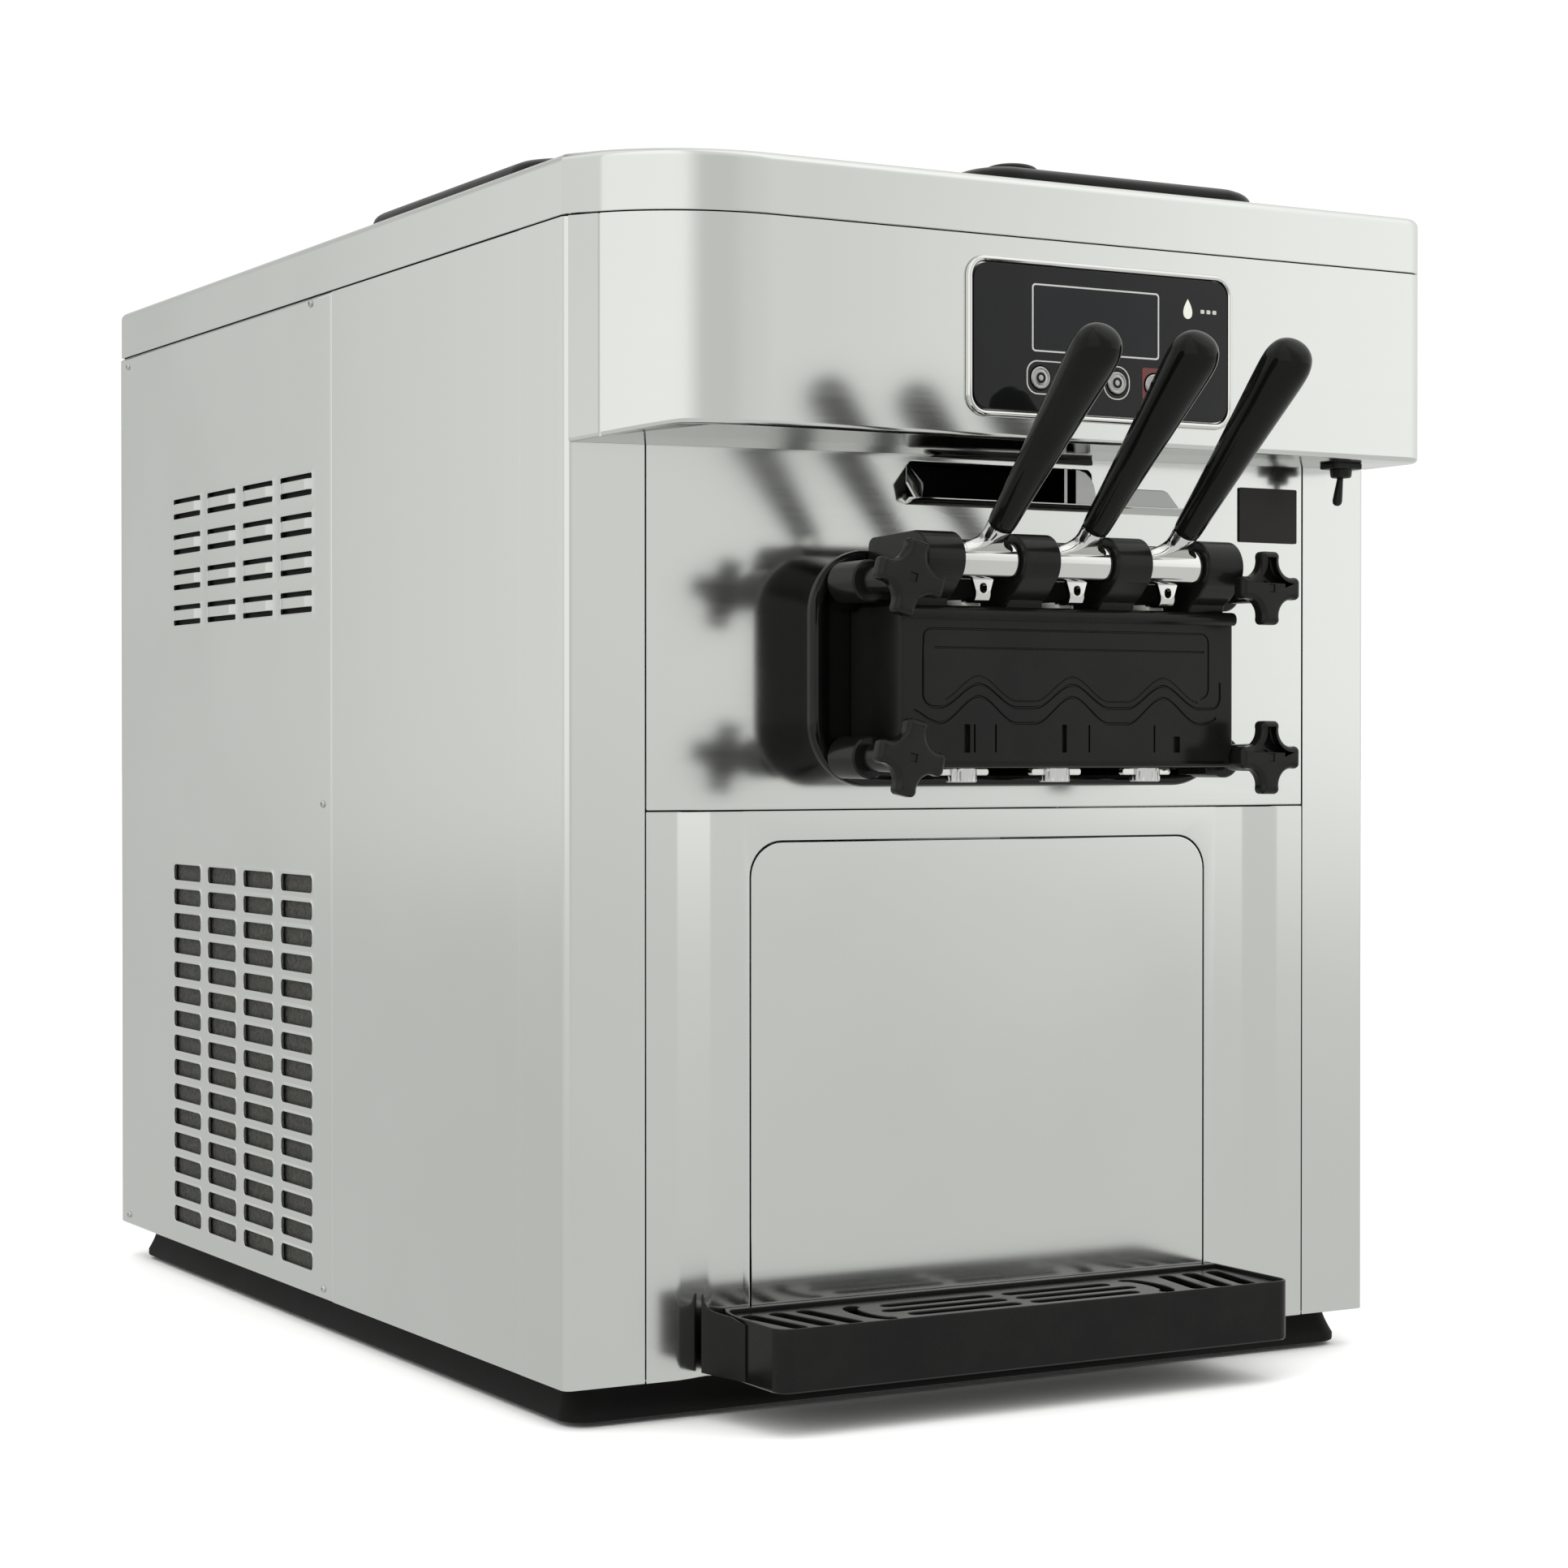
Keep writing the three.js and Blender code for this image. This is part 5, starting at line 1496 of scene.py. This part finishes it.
# ------------------------------------------------------------------ plinth and feet
def plinth():
    """Hollow skirt that narrows towards its top."""
    low = rect_points(-262, 262, -358, 345, 16, 10)
    high = rect_points(-257, 257, -352, 339, 14, 10)
    rows = [(offset(low, 1.4), 2.5), (offset(low, 0.3), 3.0), (low, 4.0), (low, 7.0)]
    rows += [(lerp(low, high, 1 - (1 - k / 5) ** 1.4), 7 + 15.2 * k / 5) for k in range(1, 6)]
    rows += [(offset(high, 0.5), 22.6), (offset(high, 4.6), 22.6)]
    for inset, z in ((0, 22.2), (0, 7.4), (0.4, 7.0)):
        rows.append((rect_points(-252 + inset, 252 - inset, -347 + inset, 334 - inset, 10, 10),
                     z))
    return Shape().loft(levels(rows))


def build_foot(side, x):
    def cut_ribs(thing):
        for k in range(-5, 6, 2):
            cut(thing, punch(rect(x + k * 3 - 1.1, x + k * 3 + 1.1, -296, 296, 0.8, 3),
                             -1, 0.7, XY))
    strip = Shape().plate(rect(x - 20, x + 20, -300, 300, 3, 4), 0, 3, low_rim=0.9)
    build("foot_strip_" + side, strip, RUBBER, "foot_rail_" + side,
          reshape=cut_ribs)


build("plinth_skirt", plinth(), RUBBER, "base_plinth", sharp=30)
for side, sign in SIDES:
    build_foot(side, sign * 210)


# ------------------------------------------------------------------ CAD parts inside the casing
def worn_metal(name, first, second, roughness, stretch):
    return brushed(name, first, second, roughness=roughness, stretch=stretch, spread=0.08,
                   anisotropy=0.3, bump=0.08)


DECK = worn_metal("galvanised_deck", (0.42, 0.44, 0.45), (0.56, 0.58, 0.58),
                  roughness=0.42, stretch=(30, 30, 30))
TUBE = worn_metal("drawn_steel_tube", (0.58, 0.59, 0.58), (0.68, 0.69, 0.67),
                  roughness=0.3, stretch=(300, 8, 300))
FINS = worn_metal("fin_stack", (0.46, 0.47, 0.48), (0.60, 0.61, 0.61),
                  roughness=0.4, stretch=(8, 8, 700))
BELT = plastic("belt_rubber", (0.008, 0.008, 0.008), (0.016, 0.015, 0.014),
               roughness=0.6, grain=900, bump=0.3)
FAN_PLASTIC = plastic("fan_moulding", (0.010, 0.010, 0.010), (0.018, 0.018, 0.018),
                      roughness=0.4, grain=1200, bump=0.08)
# CAD node, material, bevel width in mm
INNER_PARTS = (
    ("equipment_deck", DECK, 0.4), ("freezing_cylinders", TUBE, 0.8),
    ("beater_left", WHITE_PLASTIC, 0.6), ("beater_right", WHITE_PLASTIC, 0.6),
    ("drive_belt", BELT, 0.8), ("motor_pulley", ALUMINIUM, 0.5),
    ("drive_motor", ENAMEL, 1.0), ("compressor", ENAMEL, 1.0),
    ("condenser", FINS, 0.4), ("fan_blades", FAN_PLASTIC, 0.5),
)
for node, material, width in INNER_PARTS:
    part = frame["nodes"][node]
    part.data.materials.clear()
    part.data.materials.append(material)
    weld = part.modifiers.new("weld", "WELD")
    weld.merge_threshold = 0.00001
    bevel = part.modifiers.new("edges", "BEVEL")
    bevel.width = width * 0.001
    bevel.segments = 2
    bevel.limit_method = "ANGLE"
    bevel.angle_limit = math.radians(38)
    bevel.use_clamp_overlap = True
    bevel.harden_normals = True


# ------------------------------------------------------------------ screws and cable gland
def build_screw(name, place, axis, radius):
    """Pan-head screw with a cross recess."""
    placement = aim(axis, place)
    head = Shape().lathe([(0, -1.0), (1.4, -1.0), (1.4, 0.02), (radius, 0.05), (radius, 0.5),
                          (radius * 0.85, 1.05), (radius * 0.5, 1.35), (0, 1.45)],
                         placement, 28)

    def cut_cross(thing):
        for degrees in (20, 110):
            tool = punch(rect(-1.5, 1.5, -0.32, 0.32, 0.15, 2), 0.75, 3, XY)
            turn = placement @ Matrix.Rotation(math.radians(degrees), 4, "Z")
            tool.points = [tuple(turn @ Vector(p)) for p in tool.points]
            cut(thing, tool)
    build(name, head, CASTING, sharp=40, reshape=cut_cross)


SIDE_SCREWS = ((-5.4, 641.7), (-25, 29.5), (350, 638.7), (-25, 330), (350, 30))  # y, z
REAR_SCREWS = ((-255, 40), (255, 40), (-255, 630), (255, 630), (-255, 335), (255, 335))  # x, z
for i, (y, z) in enumerate(SIDE_SCREWS):
    build_screw("side_screw_left_%d" % i, (-HALF_WIDTH, y, z), "-X", 2.4)
    build_screw("side_screw_right_%d" % i, (HALF_WIDTH, y, z), "+X", 2.4)
for i, (x, z) in enumerate(REAR_SCREWS):
    build_screw("rear_screw_%d" % i, (x, REAR, z), "+Y", 3.0)

# radius, height behind the rear sheet
GLAND_PROFILE = [(4.6, -4.0), (8.6, -4.0), (8.6, 0.3), (12.2, 0.3), (12.6, 0.9), (12.6, 3.0),
                 (11.8, 4.0), (8.2, 4.4), (7.4, 6.2), (5.2, 7.0), (4.6, 6.6)]
build("cable_gland",
      Shape().lathe(GLAND_PROFILE, aim("+Y", (CABLE_X, REAR, CABLE_Z)), 36, closed=True),
      RUBBER, sharp=40 - 5)


# ------------------------------------------------------------------ camera
def add_camera():
    data = bpy.data.cameras.new("camera")
    camera = new_object("camera", data)
    camera.location = to_frame(-1026.83, -1937.31, 360.72)
    azimuth, drop = math.radians(-29.566), math.radians(0.5153)
    forward = Vector((-math.sin(azimuth) * math.cos(drop),
                      math.cos(azimuth) * math.cos(drop), -math.sin(drop)))
    camera.rotation_euler = forward.to_track_quat("-Z", "Y").to_euler()
    data.sensor_width = 36
    data.lens = 75.55
    bpy.context.scene.camera = camera


add_camera()


# ------------------------------------------------------------------ floor
def add_floor():
    material, tree, shader = new_material("pale_floor")
    mottle = noise(tree, scale=3.0, detail=3, roughness=0.5)
    colour = mix_colours(tree, mottle, (0.925, 0.925, 0.925), (0.94, 0.94, 0.94))
    set_inputs(tree, shader, {"Base Color": colour, "Roughness": 0.9,
                              "Specular IOR Level": 0.1})
    mesh = bpy.data.meshes.new("floor")
    corners = [(-30, -30, 0), (30, -30, 0), (30, 60, 0), (-30, 60, 0)]  # metres
    mesh.from_pydata(corners, [], [(0, 1, 2, 3)])
    floor = new_object("floor", mesh)
    mesh.materials.append(material)
    floor.visible_glossy = False


add_floor()

# ------------------------------------------------------------------ surroundings
# brightness round the horizon: degrees from straight in front, positive to the right
HORIZON = [
    (-180, 0.645), (-165, 0.645), (-160, 0.675), (-155.5, 0.93), (-145, 0.95), (-120, 0.93),
    (-90, 0.90), (-84, 0.92), (-76, 1.17), (-24, 1.19), (-14, 0.75), (4, 0.75), (12, 0.83),
    (30, 0.87), (33, 0.95), (35.5, 1.08), (38.5, 1.26), (60, 1.22), (80, 1.08), (110, 0.95),
    (150, 0.80), (180, 0.645),
]
HORIZON_SCALE = 1.3  # keeps the ramp's colours below 1
SKY_TINT = (1.0, 1.004, 0.99)


def horizon_brightness(tree, azimuth):
    node = tree.nodes.new("ShaderNodeValToRGB")
    node.color_ramp.interpolation = "LINEAR"
    stops = node.color_ramp.elements
    while len(stops) > 1:
        stops.remove(stops[-1])
    for i, (degrees, brightness) in enumerate(HORIZON):
        position = (degrees + 180) / 360
        stop = stops[0] if i == 0 else stops.new(position)
        stop.position = position
        level = brightness / HORIZON_SCALE
        stop.color = (level, level, level, 1)
    turn = calculate(tree, "DIVIDE", azimuth, 2 * math.pi)
    tree.links.new(calculate(tree, "ADD", turn, 0.5), node.inputs[0])
    return calculate(tree, "MULTIPLY", node.outputs[0], HORIZON_SCALE)


def add_world():
    """Near-white to the camera, soft tonal lobes in light and reflections."""
    world = bpy.data.worlds.new("studio")
    bpy.context.scene.world = world
    world.use_nodes = True
    tree = world.node_tree
    tree.nodes.clear()
    output = tree.nodes.new("ShaderNodeOutputWorld")
    direction = tree.nodes.new("ShaderNodeTexCoord").outputs["Generated"]
    east, north, height = add_node(tree, "ShaderNodeSeparateXYZ", {0: direction}).outputs
    azimuth = calculate(tree, "ARCTAN2", east, calculate(tree, "MULTIPLY", north, -1.0))
    around = horizon_brightness(tree, azimuth)
    below = ramp(tree, azimuth, span=(-2.45, -1.6), result=(0.675, 0.755))
    above = ramp(tree, height, span=(-0.058, -0.012), curve="SMOOTHSTEP")
    brightness = calculate(
        tree, "ADD", calculate(tree, "MULTIPLY", around, above),
        calculate(tree, "MULTIPLY", calculate(tree, "SUBTRACT", 1.0, above), below))
    rays = tree.nodes.new("ShaderNodeLightPath")
    # the ceiling light is broad, and reflections show only a part of it
    seen = calculate(tree, "SUBTRACT", 1.0,
                     calculate(tree, "MULTIPLY", rays.outputs["Is Glossy Ray"], 0.85))
    ceiling = ramp(tree, height, span=(0.40, 0.85), curve="SMOOTHSTEP")
    brightness = calculate(tree, "ADD", brightness,
                           calculate(tree, "MULTIPLY", ceiling, seen))
    tinted = add_node(tree, "ShaderNodeCombineColor", {
        i: calculate(tree, "MULTIPLY", brightness, tint) for i, tint in enumerate(SKY_TINT)})
    lighting = add_node(tree, "ShaderNodeBackground", {0: tinted.outputs[0]})
    backdrop = add_node(tree, "ShaderNodeBackground", {0: (1.05, 1.05, 1.05, 1)})
    mixed = add_node(tree, "ShaderNodeMixShader", {
        0: rays.outputs["Is Camera Ray"], 1: lighting.outputs[0], 2: backdrop.outputs[0]})
    tree.links.new(mixed.outputs[0], output.inputs[0])


add_world()


# ------------------------------------------------------------------ lights, in metres and watts
def add_softbox(name, location, width, height, power):
    data = bpy.data.lights.new(name, "AREA")
    data.shape = "RECTANGLE"
    data.size, data.size_y = width, height
    data.energy = power
    light = new_object(name, data)
    light.location = location
    target = Vector((0, 0, 0.4))
    light.rotation_euler = (target - Vector(location)).to_track_quat("-Z", "Y").to_euler()
    light.visible_glossy = False


add_softbox("key_overhead", (-0.6, -1.2, 3.2), width=2.6, height=2.2, power=26)
add_softbox("fill_left", (-3.0, -1.4, 2.0), width=1.6, height=1.6, power=10)

view = bpy.context.scene.view_settings
view.view_transform = "Standard"
view.look = "None"
view.exposure = 0.0
view.gamma = 1.0
